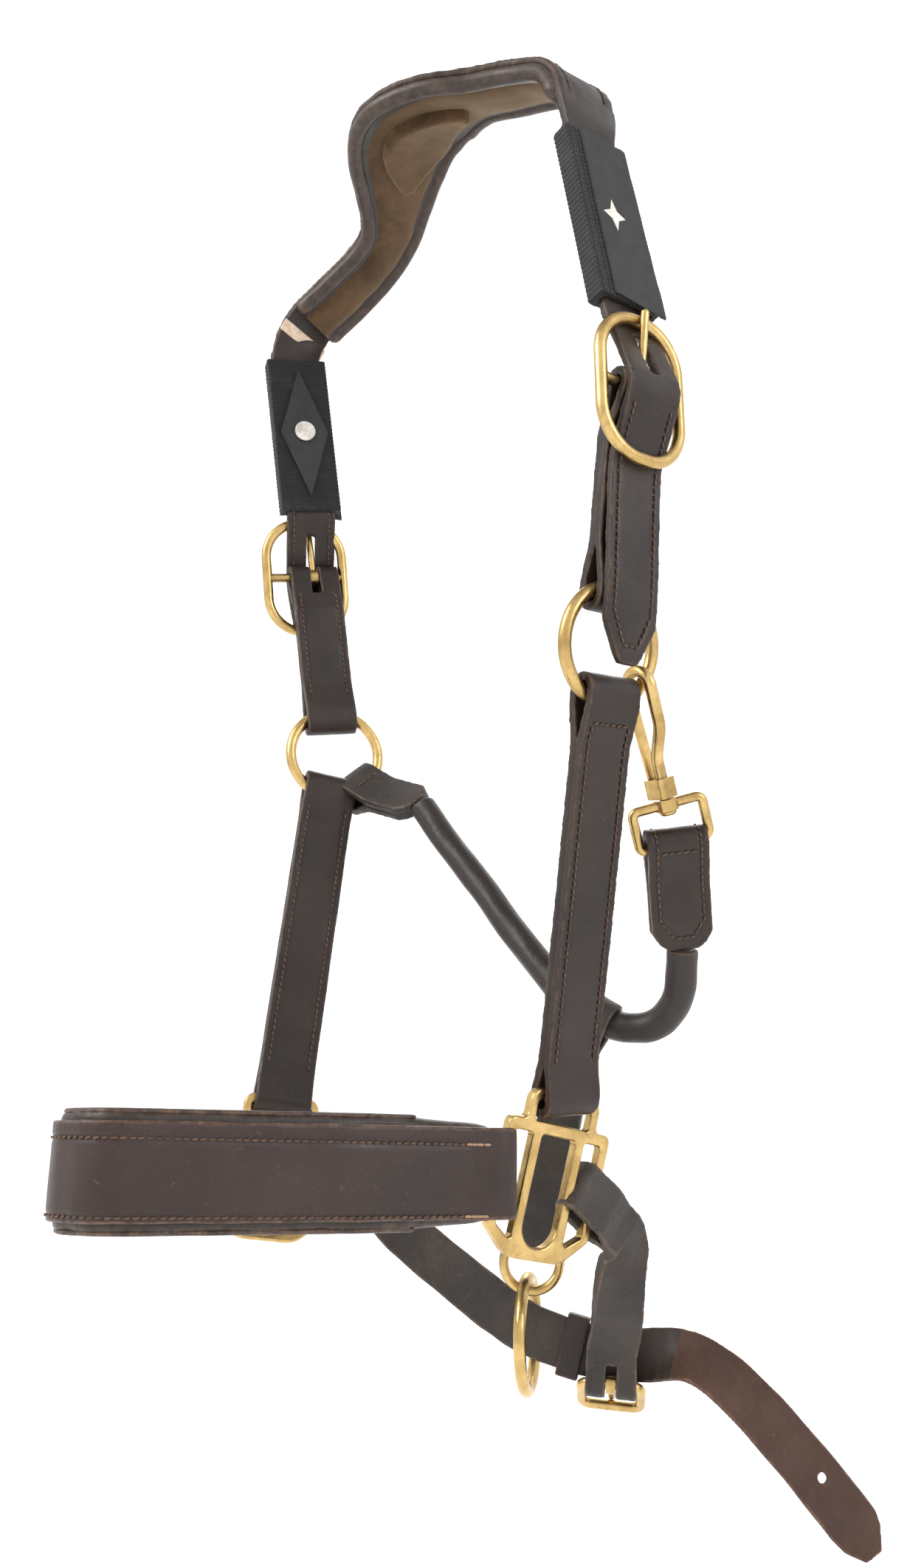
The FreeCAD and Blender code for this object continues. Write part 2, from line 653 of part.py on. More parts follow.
def smooth(rows, steps):
    """Catmull-Rom points between rows of numbers."""
    result = []
    last = len(rows) - 1
    for i in range(last):
        a, b, c, d = rows[max(i - 1, 0)], rows[i], rows[i + 1], rows[min(i + 2, last)]
        for step in range(steps):
            t = step / steps
            result.append([0.5 * (2 * q + (r - p) * t + (2 * p - 5 * q + 4 * r - s) * t * t
                                  + (3 * q - p - 3 * r + s) * t ** 3)
                           for p, q, r, s in zip(a, b, c, d)])
    result.append(list(rows[-1]))
    return result


def strip(stations, low, high):
    """Solid strip between two heights over its stations of place, across and normal."""
    wires = []
    for place, across, normal, width in stations:
        left, right = across * (-width / 2), across * (width / 2)
        corners = [place + left + normal * low, place + right + normal * low,
                   place + right + normal * high, place + left + normal * high]
        wires.append(Part.makePolygon(corners + corners[:1]))
    return Part.makeLoft(wires, True, True)


def tangent(places, i):
    return unit(places[min(i + 1, len(places) - 1)] - places[max(i - 1, 0)])


def crown_stations():
    rows = smooth(CROWN, 3)
    places = [Vector(*row[:3]) for row in rows]
    stations = []
    for i, row in enumerate(rows):
        along = tangent(places, i)
        lean = math.radians(row[4])
        across = Vector(0, math.cos(lean), math.sin(lean))
        across = unit(across - along * across.dot(along))
        normal = unit(across.cross(along))
        if normal.z < 0 and abs(places[i].x) < 60:
            normal = -normal
        stations.append((places[i], across, normal, row[3]))
    return stations


def narrowed(stations, margin):
    return [(p, a, n, w - 2 * margin) for p, a, n, w in stations]


def crown():
    stations = crown_stations()
    flip = stations[len(stations) // 2][2].z < 0
    if flip:
        stations = [(p, a, -n, w) for p, a, n, w in stations]
    leather = size("crown_leather")
    padding = size("crown_padding")
    lining = size("crown_lining")
    feature("crown_strap", strip(stations, 0.0, leather))
    soft = stations[2:-3]
    rim = 0.4
    feature("crown_padding", strip(narrowed(soft, rim), -0.05 - padding, -0.05))
    feature("crown_lining", strip(narrowed(soft, rim), -0.1 - padding - lining, -0.1 - padding))
    below = -0.15 - padding - lining
    poll = []
    centre = len(stations) // 2 - 2
    pad_half = 5
    for i in range(centre - pad_half, centre + pad_half + 1):
        p, a, n, w = stations[i]
        share = 1.0 - (abs(i - centre) / (pad_half + 0.6)) ** 1.6
        poll.append((p, a, n, size("poll_pad_width") * max(share, 0.12)))
    feature("poll_pad", strip(poll, below - size("poll_pad_depth"), below))
    place, _, normal, _ = stations[centre]
    seat = place + normal * (below - size("poll_pad_depth"))
    band = []
    for i in (-3, -2):
        p, a, n, w = stations[i]
        band.append((p, a, n, w + 1.6))
    height = size("band_height")
    along = unit(band[1][0] - band[0][0])
    middle = (band[0][0] + band[1][0]) * 0.5
    ring_stations = []
    for shift in (-height / 2, height / 2):
        ring_stations.append((middle + along * shift, band[0][1], band[0][2], band[0][3]))
    thick = size("band_thickness")
    feature("crown_band", strip(ring_stations, -0.1 - thick, -0.1))
    return seat


# ---- throat ------------------------------------------------------------------

def route_edges(route):
    """Straight runs joined by tangent arcs in space, as large as the runs allow."""
    points = [Vector(*p) for p in route]
    edges = []
    at = points[0]
    for i in range(1, len(points) - 1):
        into = points[i] - points[i - 1]
        out = points[i + 1] - points[i]
        turn = unit(into).getAngle(unit(out))
        reach = 0.45 * min(into.Length, out.Length)
        start = points[i] - unit(into) * reach
        end = points[i] + unit(out) * reach
        toward = unit(unit(out) - unit(into))
        radius = reach / math.tan(turn / 2)
        centre = points[i] + toward * (radius / math.cos(turn / 2))
        middle = centre - toward * radius
        edges.append(Part.LineSegment(at, start).toShape())
        edges.append(Part.Arc(start, middle, end).toShape())
        at = end
    edges.append(Part.LineSegment(at, points[-1]).toShape())
    return edges


def eye_width_of(alias):
    return size(alias.split(".")[1])


def tab(label, eye, toward, outward, length, hole, slack, eye_width):
    """Flat stitched tab folded round a fitting at eye, running towards the roll."""
    frame = axes_frame(eye, -toward, outward)
    points, radii = eye_half((0.0, 0.0), -1, hole, slack, size("tab_leather"))
    foot = -length
    pair = (size("tab_leather") + size("layer_gap")) / 2
    points = [(-pair, foot)] + points + [(pair, foot)]
    radii = [0] + radii + [0]
    body = padded_body(label, ribbon(points, radii, -size("tab_leather") / 2,
                                     size("tab_leather") / 2),
                       eye_width, frame)
    half = eye_width_of(eye_width) / 2
    trims = []
    for side in (-1, 1):
        trims += polygon([(side * (half + 1), foot - 1), (side * (half - 7.5), foot - 1),
                          (side * (half - 2.6), foot + 2.6), (side * (half + 1), foot + 9.0)])
    cut_through(body, label + "_end_trim", trims, "XZ_Plane")
    return body, frame


def throat(frames):
    edges = route_edges(ROLL)
    roll_radius = size("roll_radius")
    outer = pipe(edges, roll_radius)
    inner = pipe(edges, size("core_radius") + 0.02)
    feature("throat_roll", outer.cut(inner))
    feature("throat_core", pipe(edges, size("core_radius")))

    mid = size("ring_mid_radius")
    ring = frames["off"]["ring"]
    start = Vector(*ROLL[0])
    toward = unit(start - ring.Base)
    outward = ring.Rotation.multVec(Y_AXIS)
    toward = unit(toward - outward * toward.dot(outward))
    eye = ring.Base + toward * mid
    length = (start - eye).Length - size("roll_end_gap")
    half = size("off_tab_width") / 2
    sag = mid - math.sqrt(mid * mid - half * half)
    away = unit(start - eye)
    hole = size("ring_wire_radius") + 2 * TOUCH + sag * abs(outward.dot(away))
    tab("throat_off_tab", eye, away, outward, length, hole, sag, "Sizes.off_tab_width")

    end = Vector(*ROLL[-1])
    face = heading(50)
    grip = near_grip(frames)
    eye_frame = axes_frame(RIVET, grip - RIVET, face)
    bar = eye_frame.multVec(Vector(0, 0, -size("eye_height")))
    near_length = (end - bar).Length - 1.0
    tab("throat_near_tab", bar, unit(end - bar), face, near_length,
        size("eye_wire") + 2 * TOUCH, 0.0, "Sizes.tab_width")
    return eye_frame, grip


def near_grip(frames):
    """Where the snap holds the near ring's wire, behind the cheekpiece."""
    across = -17.5
    mid = size("ring_mid_radius")
    return frames["near"]["ring"].multVec(Vector(across, 0, -math.sqrt(mid * mid - across * across)))


def snap(eye_frame, grip, ring):
    """Swivel eye on the throat tab, and the hook with its sprung gate on the near ring."""
    half = size("eye_width") / 2 - size("eye_wire")
    drop = size("eye_height")
    wire = size("eye_wire")
    outline = [(-half, 0), (half, 0), (half, -drop), (-half, -drop)]
    eye = round_wire(outline, [2.6] * 4, wire, closed=True)
    boss_half = 2.3
    pin_radius = 1.8
    boss = Part.makeCylinder(4.6, 2 * boss_half, Vector(0, 0, -boss_half), Z_AXIS)
    bore = Part.makeCylinder(pin_radius + RUNNING, 12, Vector(0, 0, -6), Z_AXIS)
    feature("snap_eye", eye.fuse(boss).cut(bore).removeSplitter(), eye_frame)

    stem = unit(grip - eye_frame.Base)
    mid_line = unit(grip - ring.Base)
    along_tube = unit(ring.Rotation.multVec(Y_AXIS).cross(mid_line))
    normal = unit(along_tube - stem * along_tube.dot(stem))
    out = unit(stem.cross(normal))
    if out.dot(ring.Rotation.multVec(Y_AXIS)) < 0:
        out = -out
    hook_frame = turned(axes_frame(eye_frame.Base, stem, out), Z_AXIS, 90)
    height = (grip - eye_frame.Base).Length
    reach = size("hook_reach")
    radius = size("hook_wire")
    path = [(0.6, 8.0), (0.6, 19.0), (reach, 31.0), (reach, height + reach),
            (-reach, height + reach), (-reach, height - 4.4)]
    curl = round_wire(path, [0, 12, 12, reach, reach, 0], radius)
    block = Part.makeBox(10.4, 8.4, 8.0, Vector(-6.4, -4.2, boss_half + 0.5))
    block = block.makeFillet(1.6, [e for e in block.Edges if e.Length < 8.2])
    slot = Part.makeBox(6.0, 2 * 2.7, 14.0, Vector(-8.0, -2.7, boss_half + 0.2))
    hinge = Vector(-4.3, 0, 7.2)
    pin = Part.makeCylinder(0.9, 7.0, hinge - Y_AXIS * 3.5, Y_AXIS)
    swivel = rod(Vector(0, 0, -boss_half - 1.0), Vector(0, 0, boss_half + 1.5), pin_radius)
    dome = Part.makeCylinder(3.4, 1.5, Vector(0, 0, -boss_half - 1.9), Z_AXIS)
    dome = dome.makeFillet(1.0, [dome.Edges[2]])
    hook = curl.fuse(block).cut(slot).fuse([pin, swivel, dome])
    feature("snap_hook", hook.removeSplitter(), hook_frame)

    thick = size("gate_thickness")
    width = size("gate_width")
    tip = height - 5.0
    leaf = Part.makeBox(thick, width, tip - hinge.z, Vector(-thick / 2, -width / 2, 0))
    lean = math.degrees(math.atan2(reach + hinge.x, tip - hinge.z))
    leaf.Placement = Placement(hinge, Rotation(Y_AXIS, -lean))
    root = Part.makeCylinder(1.9, width, hinge - Y_AXIS * (width / 2), Y_AXIS)
    hole = Part.makeCylinder(0.9 + RUNNING, width + 2, hinge - Y_AXIS * (width / 2 + 1), Y_AXIS)
    gate = leaf.fuse(root).cut(hole)
    feature("snap_gate", gate.removeSplitter(), hook_frame)
    return hook_frame, hinge


# ---- doubled straps that twist between their folds ---------------------------

def extruded(loop, width):
    """Solid from a (y, z) loop, width along X about the origin."""
    edges = []
    for edge in loop:
        place = [Vector(-width / 2, p.x, p.y) for p in edge[1:]]
        if edge[0] == "run":
            edges.append(Part.LineSegment(*place).toShape())
        else:
            edges.append(Part.Arc(*place).toShape())
    wire = Part.Wire(Part.__sortEdges__(edges))
    return Part.Face(wire).extrude(Vector(width, 0, 0))


def fold(frame, length, hole, width, leather, neck, bend, stretch=0.0):
    """Folded end round a fitting at the frame's origin; its two layers run towards -Z.

    stretch lengthens the hole both ways, for a fitting that crosses the fold at a slant.
    """
    pair = (leather + size("layer_gap")) / 2
    points, radii = eye_half((0.0, 0.0), -1, hole, stretch, leather, neck, bend, stretch)
    points = [(-pair, -length)] + points + [(pair, -length)]
    radii = [0] + radii + [0]
    solid = extruded(ribbon(points, radii, -leather / 2, leather / 2)[0], width)
    solid.Placement = frame
    return solid


def stations_of(rows, width):
    places = [Vector(*row[:3]) for row in rows]
    result = []
    for i, row in enumerate(rows):
        along = tangent(places, i)
        face = Vector(*row[3:6])
        across = unit(along.cross(face))
        result.append((places[i], across, unit(across.cross(along)), width))
    return result


def row_at(frame, y, z):
    place = frame.multVec(Vector(0, y, z))
    face = frame.Rotation.multVec(Y_AXIS)
    return (place.x, place.y, place.z, face.x, face.y, face.z)


def doubled_strap(top, bottom, between, width, leather, holes, necks, bends, stretch=0.0):
    """Strap of two layers, folded at both ends, that twists from one fitting to the other."""
    below = turned(bottom, Y_AXIS, 180)
    lengths = [hole + leather / 2 + neck + 2.0 for hole, neck in zip(holes, necks)]
    lengths[0] += stretch
    first = fold(top, lengths[0], holes[0], width, leather, necks[0], bends[0], stretch)
    last = fold(below, lengths[1], holes[1], width, leather, necks[1], bends[1])
    rows = [row_at(top, 0, -lengths[0]), row_at(top, 0, -lengths[0] - 3)]
    rows += between
    rows += [row_at(below, 0, -lengths[1] - 3), row_at(below, 0, -lengths[1])]
    rows = [rows[0]] + smooth(rows[1:-1], 3) + [rows[-1]]
    half = leather + size("layer_gap") / 2
    middle = strip(stations_of(rows, width), -half, half)
    return middle.fuse([first, last])


def leg_fold_frame(leg, leg_axis, target, face):
    """Frame at a square's leg whose -Z leaves square to the leg, towards a target."""
    toward = target - leg
    toward = unit(toward - leg_axis * toward.dot(leg_axis))
    return axes_frame(leg, -toward, face)


def chin(frames):
    width = size("chin_width")
    leather = size("chin_leather")
    leg_hole = 3.2
    drop = size("chin_drop")

    def rear_leg(prefix):
        square = frames[prefix]["square"]
        rear = 1 if prefix == "off" else -1
        leg = square.multVec(Vector(rear * size("leg_centre"), 0, -drop))
        return leg, square.Rotation.multVec(Z_AXIS)

    # chin strap: folded round the off square's rear leg, then one layer to the tail
    leg, axis = rear_leg("off")
    start = leg_fold_frame(leg, axis, Vector(*CHIN[0][:3]), Vector(*CHIN[0][3:6]))
    length = 17.0
    trim = 0.06
    turn = fold(start, length, leg_hole, width - trim, leather - trim, 9.0, 7.0)
    pair = (leather - trim + size("layer_gap")) / 2
    rows = [row_at(start, -pair, -length + 2), row_at(start, -pair, -length - 3)]
    rows = [rows[0]] + smooth(rows[1:] + CHIN, 3)
    line = stations_of(rows, width)
    strap = strip(line, -leather / 2, leather / 2).fuse(turn)
    end, across, face, _ = line[-1]
    along = unit(across.cross(face)) * -1.0
    if along.dot(end - line[-2][0]) < 0:
        along = -along
    tail = axes_frame(end, along, face)
    for side in (-1, 1):
        wedge = Part.makePolygon([Vector(side * 3.0, -9, 1), Vector(side * 11, -9, 1),
                                  Vector(side * 11, -9, -16), Vector(side * 8.5, -9, -7),
                                  Vector(side * 3.0, -9, 1)])
        cutter = Part.Face(wedge).extrude(Vector(0, 18, 0))
        cutter.Placement = tail
        strap = strap.cut(cutter)
    hole = Part.makeCylinder(2.0, 18, Vector(0, -9, -31), Y_AXIS)
    hole.Placement = tail
    feature("chin_strap", strap.cut(hole))

    # buckle below the strap, its frame lying back behind it
    place, across, face = line_point(line, CHIN_BUCKLE)
    run = unit(face.cross(across))
    up = unit(Z_AXIS - run * run.z)
    front = unit(run.cross(up))
    if front.dot(face) < 0:
        front = -front
    bar_centre = place + front * (1.5 * leather + size("chin_frame_wire") + 0.8)
    bar_centre = bar_centre - up * size("chin_bar_drop")
    bar_frame = turned(axes_frame(bar_centre, up, front), X_AXIS, -size("chin_fold_lean_deg"))
    wire = size("chin_frame_wire")
    half = size("chin_frame_width") / 2 - wire
    high = size("chin_frame_height") - 2 * wire
    loop = round_wire([(-half, 0), (half, 0), (half, high), (-half, high)], [4.0] * 4, wire,
                      closed=True)
    tilted = turned(bar_frame, X_AXIS, size("chin_frame_tilt_deg"))
    feature("chin_buckle_frame", loop, tilted)
    tongue("chin_buckle_tongue", tilted, high + 1.0, wire + 1.5 + TONGUE_GAP, 1.5, 3.6, wire, 3.6)

    # chape: folded round the near square's rear leg and round the buckle's bar
    leg, axis = rear_leg("near")
    slant = size("chape_slant_deg")
    leg = leg - axis * size("chape_drop")
    top = leg_fold_frame(leg, axis, Vector(*CHAPE[0][:3]), Vector(*CHAPE[0][3:6]))
    turn = slant if top.Rotation.multVec(X_AXIS).z > 0 else -slant
    top = turned(top, Y_AXIS, turn)
    stretch = width / 2 * math.tan(math.radians(slant))
    chape = doubled_strap(top, bar_frame, CHAPE, width, leather,
                          (leg_hole, wire + 0.3), (4.5, 5.6), (3.0, 3.6), stretch)
    slot = Part.makeBox(4.6, 24, 15, Vector(-2.3, -12, -6))
    slot.Placement = bar_frame
    feature("chin_chape", chape.cut(slot))

    # keeper on the strap
    place, across, face = line_point(line, KEEPER)
    run = unit(face.cross(across))
    keeper = axes_frame(place, run, face)
    clear = 0.4
    wall = size("keeper_wall")
    inner = (width / 2 + clear, leather / 2 + clear)
    outer = (inner[0] + wall, inner[1] + wall)
    loops = []
    for x, y in (outer, inner):
        loops += polygon([(-x, -y), (x, -y), (x, y), (-x, y)])
    padded_body("chin_keeper", loops, "Sizes.keeper_width", keeper, "XY_Plane")
    return {"bar": bar_frame, "tilted": tilted, "keeper": keeper}


def line_point(line, x):
    """Place, across and face of a strap's stations where they reach a given x."""
    for a, b in zip(line, line[1:]):
        if a[0].x <= x <= b[0].x:
            t = (x - a[0].x) / (b[0].x - a[0].x)
            return (a[0] * (1 - t) + b[0] * t, unit(a[1] * (1 - t) + b[1] * t),
                    unit(a[2] * (1 - t) + b[2] * t))
    raise RuntimeError("no station at x %.1f" % x)


def lead():
    """Connecting strap from the roll, its dee and the lead ring."""
    roll = Vector(*ROLL_HANGER)
    points = [Vector(*p) for p in ROLL]
    near = sorted(range(len(points) - 1), key=lambda i: ((points[i] + points[i + 1]) * 0.5
                                                         - roll).Length)[0]
    roll_run = unit(points[near + 1] - points[near])
    dee_bar = Vector(*DEE_BAR)
    down = unit(dee_bar - roll)
    face = unit(roll_run.cross(down))
    if face.dot(heading(50)) < 0:
        face = -face
    top = axes_frame(roll, roll_run.cross(face) * -1.0, face)
    if top.Rotation.multVec(Z_AXIS).z < 0:
        top = axes_frame(roll, roll_run.cross(face), face)
    dee = axes_frame(dee_bar, Vector(*DEE_UP), heading(50))
    strap_end = axes_frame(dee_bar, roll - dee_bar, heading(50))
    wire = size("dee_wire")
    shape = doubled_strap(top, strap_end, [], size("connecting_width"),
                          size("connecting_leather"), (size("roll_radius") + 0.5, wire + 0.4),
                          (10.0, 7.0), (4.5, 5.0))
    feature("connecting_strap", shape)
    half = size("dee_half_width")
    drop = size("dee_drop")
    bent = round_wire([(-half, 0), (half, 0), (half, -drop), (-half, -drop)],
                      [2.5, 2.5, 11.0, 11.0], wire, closed=True)
    feature("dee_ring", bent, dee)
    hang = size("dee_wire") + size("lead_wire_radius") + 0.35
    hold = dee.multVec(Vector(0, 0, -drop))
    centre = hold + Z_AXIS * (hang - size("lead_mid_radius"))
    ring = axes_frame(centre, Z_AXIS, heading(125))
    torus("lead_ring", "Sizes.lead_mid_radius", "Sizes.lead_wire_radius", ring)
    return {"dee": dee, "hold": hold, "ring": ring}


# ---- build -------------------------------------------------------------------

SIDES = {
    "near": (Vector(0.18, -0.045, 0.983), Vector(-0.2265, 0.0809, -0.9706),
             Vector(-0.16, -0.17, -0.97)),
    "off": (Vector(-0.095, -0.085, 0.992), Vector(0.0797, -0.2107, -0.9743),
            Vector(0.09, -0.19, -0.977)),
}
frames = {}
for prefix, (chape_up, cheek_down, square_down) in SIDES.items():
    centre = Vector(size(prefix + "_ring_x"), size(prefix + "_ring_y"), size(prefix + "_ring_z"))
    frames[prefix] = side(prefix, centre, heading(size(prefix + "_outward_deg")), chape_up,
                          cheek_down, square_down)
band = noseband(frames["near"]["square"], frames["off"]["square"])
seat = crown()
eye_frame, grip = throat(frames)
hook_frame, gate_hinge = snap(eye_frame, grip, frames["near"]["ring"])
lead_frames = lead()
chin_frames = chin(frames)

# the origin is on the poll pad's underside
for obj in parts:
    obj.Placement = Placement(-seat, Rotation()) * obj.Placement
doc.recompute()
os.makedirs("parts", exist_ok=True)
failed = []
for obj in doc.Objects:
    if any(flag in ("Invalid", "Error") for flag in obj.State):
        failed.append(obj.Label)
for obj in parts:
    if obj.Shape.isNull() or not obj.Shape.isValid():
        failed.append(obj.Label + " shape")
if failed:
    raise RuntimeError("failed: " + ", ".join(failed))
for obj in parts:
    obj.Shape.exportStep("parts/%s.step" % obj.Label)
    print("%-22s %8.0f mm3" % (obj.Label, obj.Shape.Volume))
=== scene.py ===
"""Leather headcollar with a padded crown, brass rings and buckles, and a snap on the throat.

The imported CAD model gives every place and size. Leather, padding, webbing and thread are
rebuilt here over their CAD solids, and the brass keeps its CAD shape with a better finish.
Everything is in metres.
"""
import json
import math

import bmesh
import bpy
import numpy as np
from mathutils import Matrix, Vector
from mathutils.bvhtree import BVHTree
from mathutils.kdtree import KDTree

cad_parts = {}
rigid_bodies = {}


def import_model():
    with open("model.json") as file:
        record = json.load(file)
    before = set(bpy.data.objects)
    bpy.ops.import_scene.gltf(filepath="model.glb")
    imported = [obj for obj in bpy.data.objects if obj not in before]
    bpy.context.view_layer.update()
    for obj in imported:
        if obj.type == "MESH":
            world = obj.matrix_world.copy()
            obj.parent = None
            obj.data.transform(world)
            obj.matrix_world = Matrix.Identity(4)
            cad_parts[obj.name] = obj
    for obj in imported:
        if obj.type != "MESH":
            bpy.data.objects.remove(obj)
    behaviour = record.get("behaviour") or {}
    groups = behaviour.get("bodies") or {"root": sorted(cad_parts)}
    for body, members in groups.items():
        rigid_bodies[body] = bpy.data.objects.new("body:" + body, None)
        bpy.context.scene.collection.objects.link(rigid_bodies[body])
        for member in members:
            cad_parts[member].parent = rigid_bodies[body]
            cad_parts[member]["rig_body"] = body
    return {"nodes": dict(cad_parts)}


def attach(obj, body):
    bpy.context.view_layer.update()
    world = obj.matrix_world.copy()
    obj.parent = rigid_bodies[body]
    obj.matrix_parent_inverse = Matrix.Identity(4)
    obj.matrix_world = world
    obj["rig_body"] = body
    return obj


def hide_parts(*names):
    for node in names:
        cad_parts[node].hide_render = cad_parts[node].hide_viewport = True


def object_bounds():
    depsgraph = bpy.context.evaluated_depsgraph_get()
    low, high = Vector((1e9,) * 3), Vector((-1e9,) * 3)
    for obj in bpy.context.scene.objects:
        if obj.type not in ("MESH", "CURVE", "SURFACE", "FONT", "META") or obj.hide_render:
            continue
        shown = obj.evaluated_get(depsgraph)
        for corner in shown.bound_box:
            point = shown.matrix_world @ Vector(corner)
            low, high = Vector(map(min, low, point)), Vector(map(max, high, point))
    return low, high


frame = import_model()
cad_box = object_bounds()
NODES = frame["nodes"]
MM = 0.001
UP = Vector((0, 0, 1))
OUTWARD = {"near": Vector((0.97, -0.12, -0.2)), "off": Vector((-0.9, 0.42, -0.1))}


# ---- node material helpers ----------------------------------------------------

class Shader:
    """One procedural material on the object's own coordinates."""

    def __init__(self, name):
        self.material = bpy.data.materials.new(name)
        self.material.use_nodes = True
        self.nodes = self.material.node_tree.nodes
        self.links = self.material.node_tree.links
        self.surface = self.nodes["Principled BSDF"]
        self.place = self.nodes.new("ShaderNodeTexCoord").outputs["Object"]

    def set(self, **values):
        for key, value in values.items():
            self.surface.inputs[key.replace("_", " ")].default_value = value

    def wire(self, source, target):
        self.links.new(source, target)

    def mapped(self, matrix, stretch):
        """Coordinates along a strap's own directions."""
        node = self.nodes.new("ShaderNodeMapping")
        node.vector_type = "POINT"
        node.inputs["Rotation"].default_value = matrix.to_euler()
        node.inputs["Scale"].default_value = stretch
        self.wire(self.place, node.inputs["Vector"])
        return node.outputs["Vector"]

    def noise(self, size, detail=3.0, rough=0.55, at=None, warp=0.0):
        node = self.nodes.new("ShaderNodeTexNoise")
        node.inputs["Scale"].default_value = 1.0 / size
        node.inputs["Detail"].default_value = detail
        node.inputs["Roughness"].default_value = rough
        node.inputs["Distortion"].default_value = warp
        self.wire(at or self.place, node.inputs["Vector"])
        return node.outputs["Fac"]

    def cells(self, size, at=None):
        node = self.nodes.new("ShaderNodeTexVoronoi")
        node.inputs["Scale"].default_value = 1.0 / size
        self.wire(at or self.place, node.inputs["Vector"])
        return node.outputs["Distance"]

    def bands(self, size, direction, at):
        node = self.nodes.new("ShaderNodeTexWave")
        node.wave_type = "BANDS"
        node.bands_direction = direction
        node.inputs["Scale"].default_value = 0.314 / size
        self.wire(at, node.inputs["Vector"])
        return node.outputs["Fac"]

    def ramp(self, value, stops):
        node = self.nodes.new("ShaderNodeValToRGB")
        elements = node.color_ramp.elements
        while len(elements) < len(stops):
            elements.new(0.5)
        for element, (at, colour) in zip(elements, stops):
            element.position = at
            element.color = (*colour, 1.0)
        self.wire(value, node.inputs["Fac"])
        return node.outputs["Color"]

    def scale(self, value, low, high, start=0.0, stop=1.0):
        node = self.nodes.new("ShaderNodeMapRange")
        for key, number in (("From Min", start), ("From Max", stop), ("To Min", low), ("To Max", high)):
            node.inputs[key].default_value = number
        self.wire(value, node.inputs["Value"])
        return node.outputs["Result"]

    def mix(self, share, first, second):
        """One colour turning into another by a share that a node gives."""
        node = self.nodes.new("ShaderNodeMix")
        node.data_type = "RGBA"
        self.wire(share, node.inputs["Factor"])
        colours = [s for s in node.inputs if s.type == "RGBA"]
        for socket, value in zip(colours, (first, second)):
            if isinstance(value, tuple):
                socket.default_value = (*value, 1.0)
            else:
                self.wire(value, socket)
        return [s for s in node.outputs if s.type == "RGBA"][0]

    def math(self, how, first, second):
        node = self.nodes.new("ShaderNodeMath")
        node.operation = how
        for socket, value in zip(node.inputs, (first, second)):
            if isinstance(value, (int, float)):
                socket.default_value = value
            else:
                self.wire(value, socket)
        return node.outputs["Value"]

    def edges(self, start, stop):
        """0 on flat faces, rising to 1 on convex edges, which leather lightens as rubbed wear and painted
        highlight.
        """
        point = self.nodes.new("ShaderNodeNewGeometry").outputs["Pointiness"]
        return self.scale(point, 0.0, 1.0, start, stop)

    def bump(self, height, depth, strength=1.0, under=None):
        node = self.nodes.new("ShaderNodeBump")
        node.inputs["Strength"].default_value = strength
        node.inputs["Distance"].default_value = depth
        self.wire(height, node.inputs["Height"])
        if under:
            self.wire(under, node.inputs["Normal"])
        return node.outputs["Normal"]

    def finish(self, colour, roughness, normal=None):
        self.wire(colour, self.surface.inputs["Base Color"])
        self.wire(roughness, self.surface.inputs["Roughness"])
        if normal:
            self.wire(normal, self.surface.inputs["Normal"])
        return self.material


def leather(name, dark, light, wear_and_highlight, shine=(0.36, 0.55), creases=0.0, crease_size=0.006):
    """Oiled leather: pore grain, broad colour change, fine scuffs, and convex edges lightened as rubbed wear
    and painted highlight.
    """
    s = Shader(name)
    broad = s.noise(0.045, 4.0, 0.6)
    colour = s.ramp(broad, [(0.32, dark), (0.68, light)])
    fine = s.noise(0.0016, 3.0, 0.7)
    colour = s.mix(s.scale(fine, 0.0, 0.55, 0.35, 0.75), colour, dark)
    scuffs = s.scale(s.noise(0.0035, 5.0, 0.75, warp=1.2), 0.0, 0.5, 0.62, 0.78)
    colour = s.mix(scuffs, colour, wear_and_highlight)
    # Convex edges lightened: partly rubbed wear, partly a painted highlight.
    edge_wear_and_highlight = s.math("MULTIPLY", s.edges(0.515, 0.575), s.scale(s.noise(0.004), 0.1, 0.9, 0.35, 0.65))
    colour = s.mix(edge_wear_and_highlight, colour, wear_and_highlight)
    rough = s.scale(s.noise(0.012, 4.0), shine[0], shine[1], 0.3, 0.7)
    normal = s.bump(s.cells(0.00065), 0.00012, 0.35)
    normal = s.bump(s.noise(0.0011, 4.0, 0.6), 0.00016, 0.4, normal)
    if creases:
        folds = s.noise(crease_size, 3.0, 0.6, warp=1.6)
        normal = s.bump(folds, creases, 0.7, normal)
    s.set(Specular_IOR_Level=0.38)
    return s.finish(colour, rough, normal)


def suede(name, dark, light):
    """Brushed lining with a soft nap and rubbed darker patches."""
    s = Shader(name)
    colour = s.ramp(s.noise(0.02, 5.0, 0.65, warp=0.6), [(0.3, dark), (0.7, light)])
    colour = s.mix(s.scale(s.noise(0.0009, 3.0), 0.0, 0.5, 0.4, 0.7), colour, dark)
    normal = s.bump(s.noise(0.0007, 4.0, 0.7), 0.0002, 0.6)
    s.set(Sheen_Weight=0.35, Sheen_Roughness=0.5, Specular_IOR_Level=0.25)
    s.surface.inputs["Sheen Tint"].default_value = (0.8, 0.62, 0.42, 1.0)
    return s.finish(colour, s.scale(s.noise(0.006), 0.75, 0.95), normal)


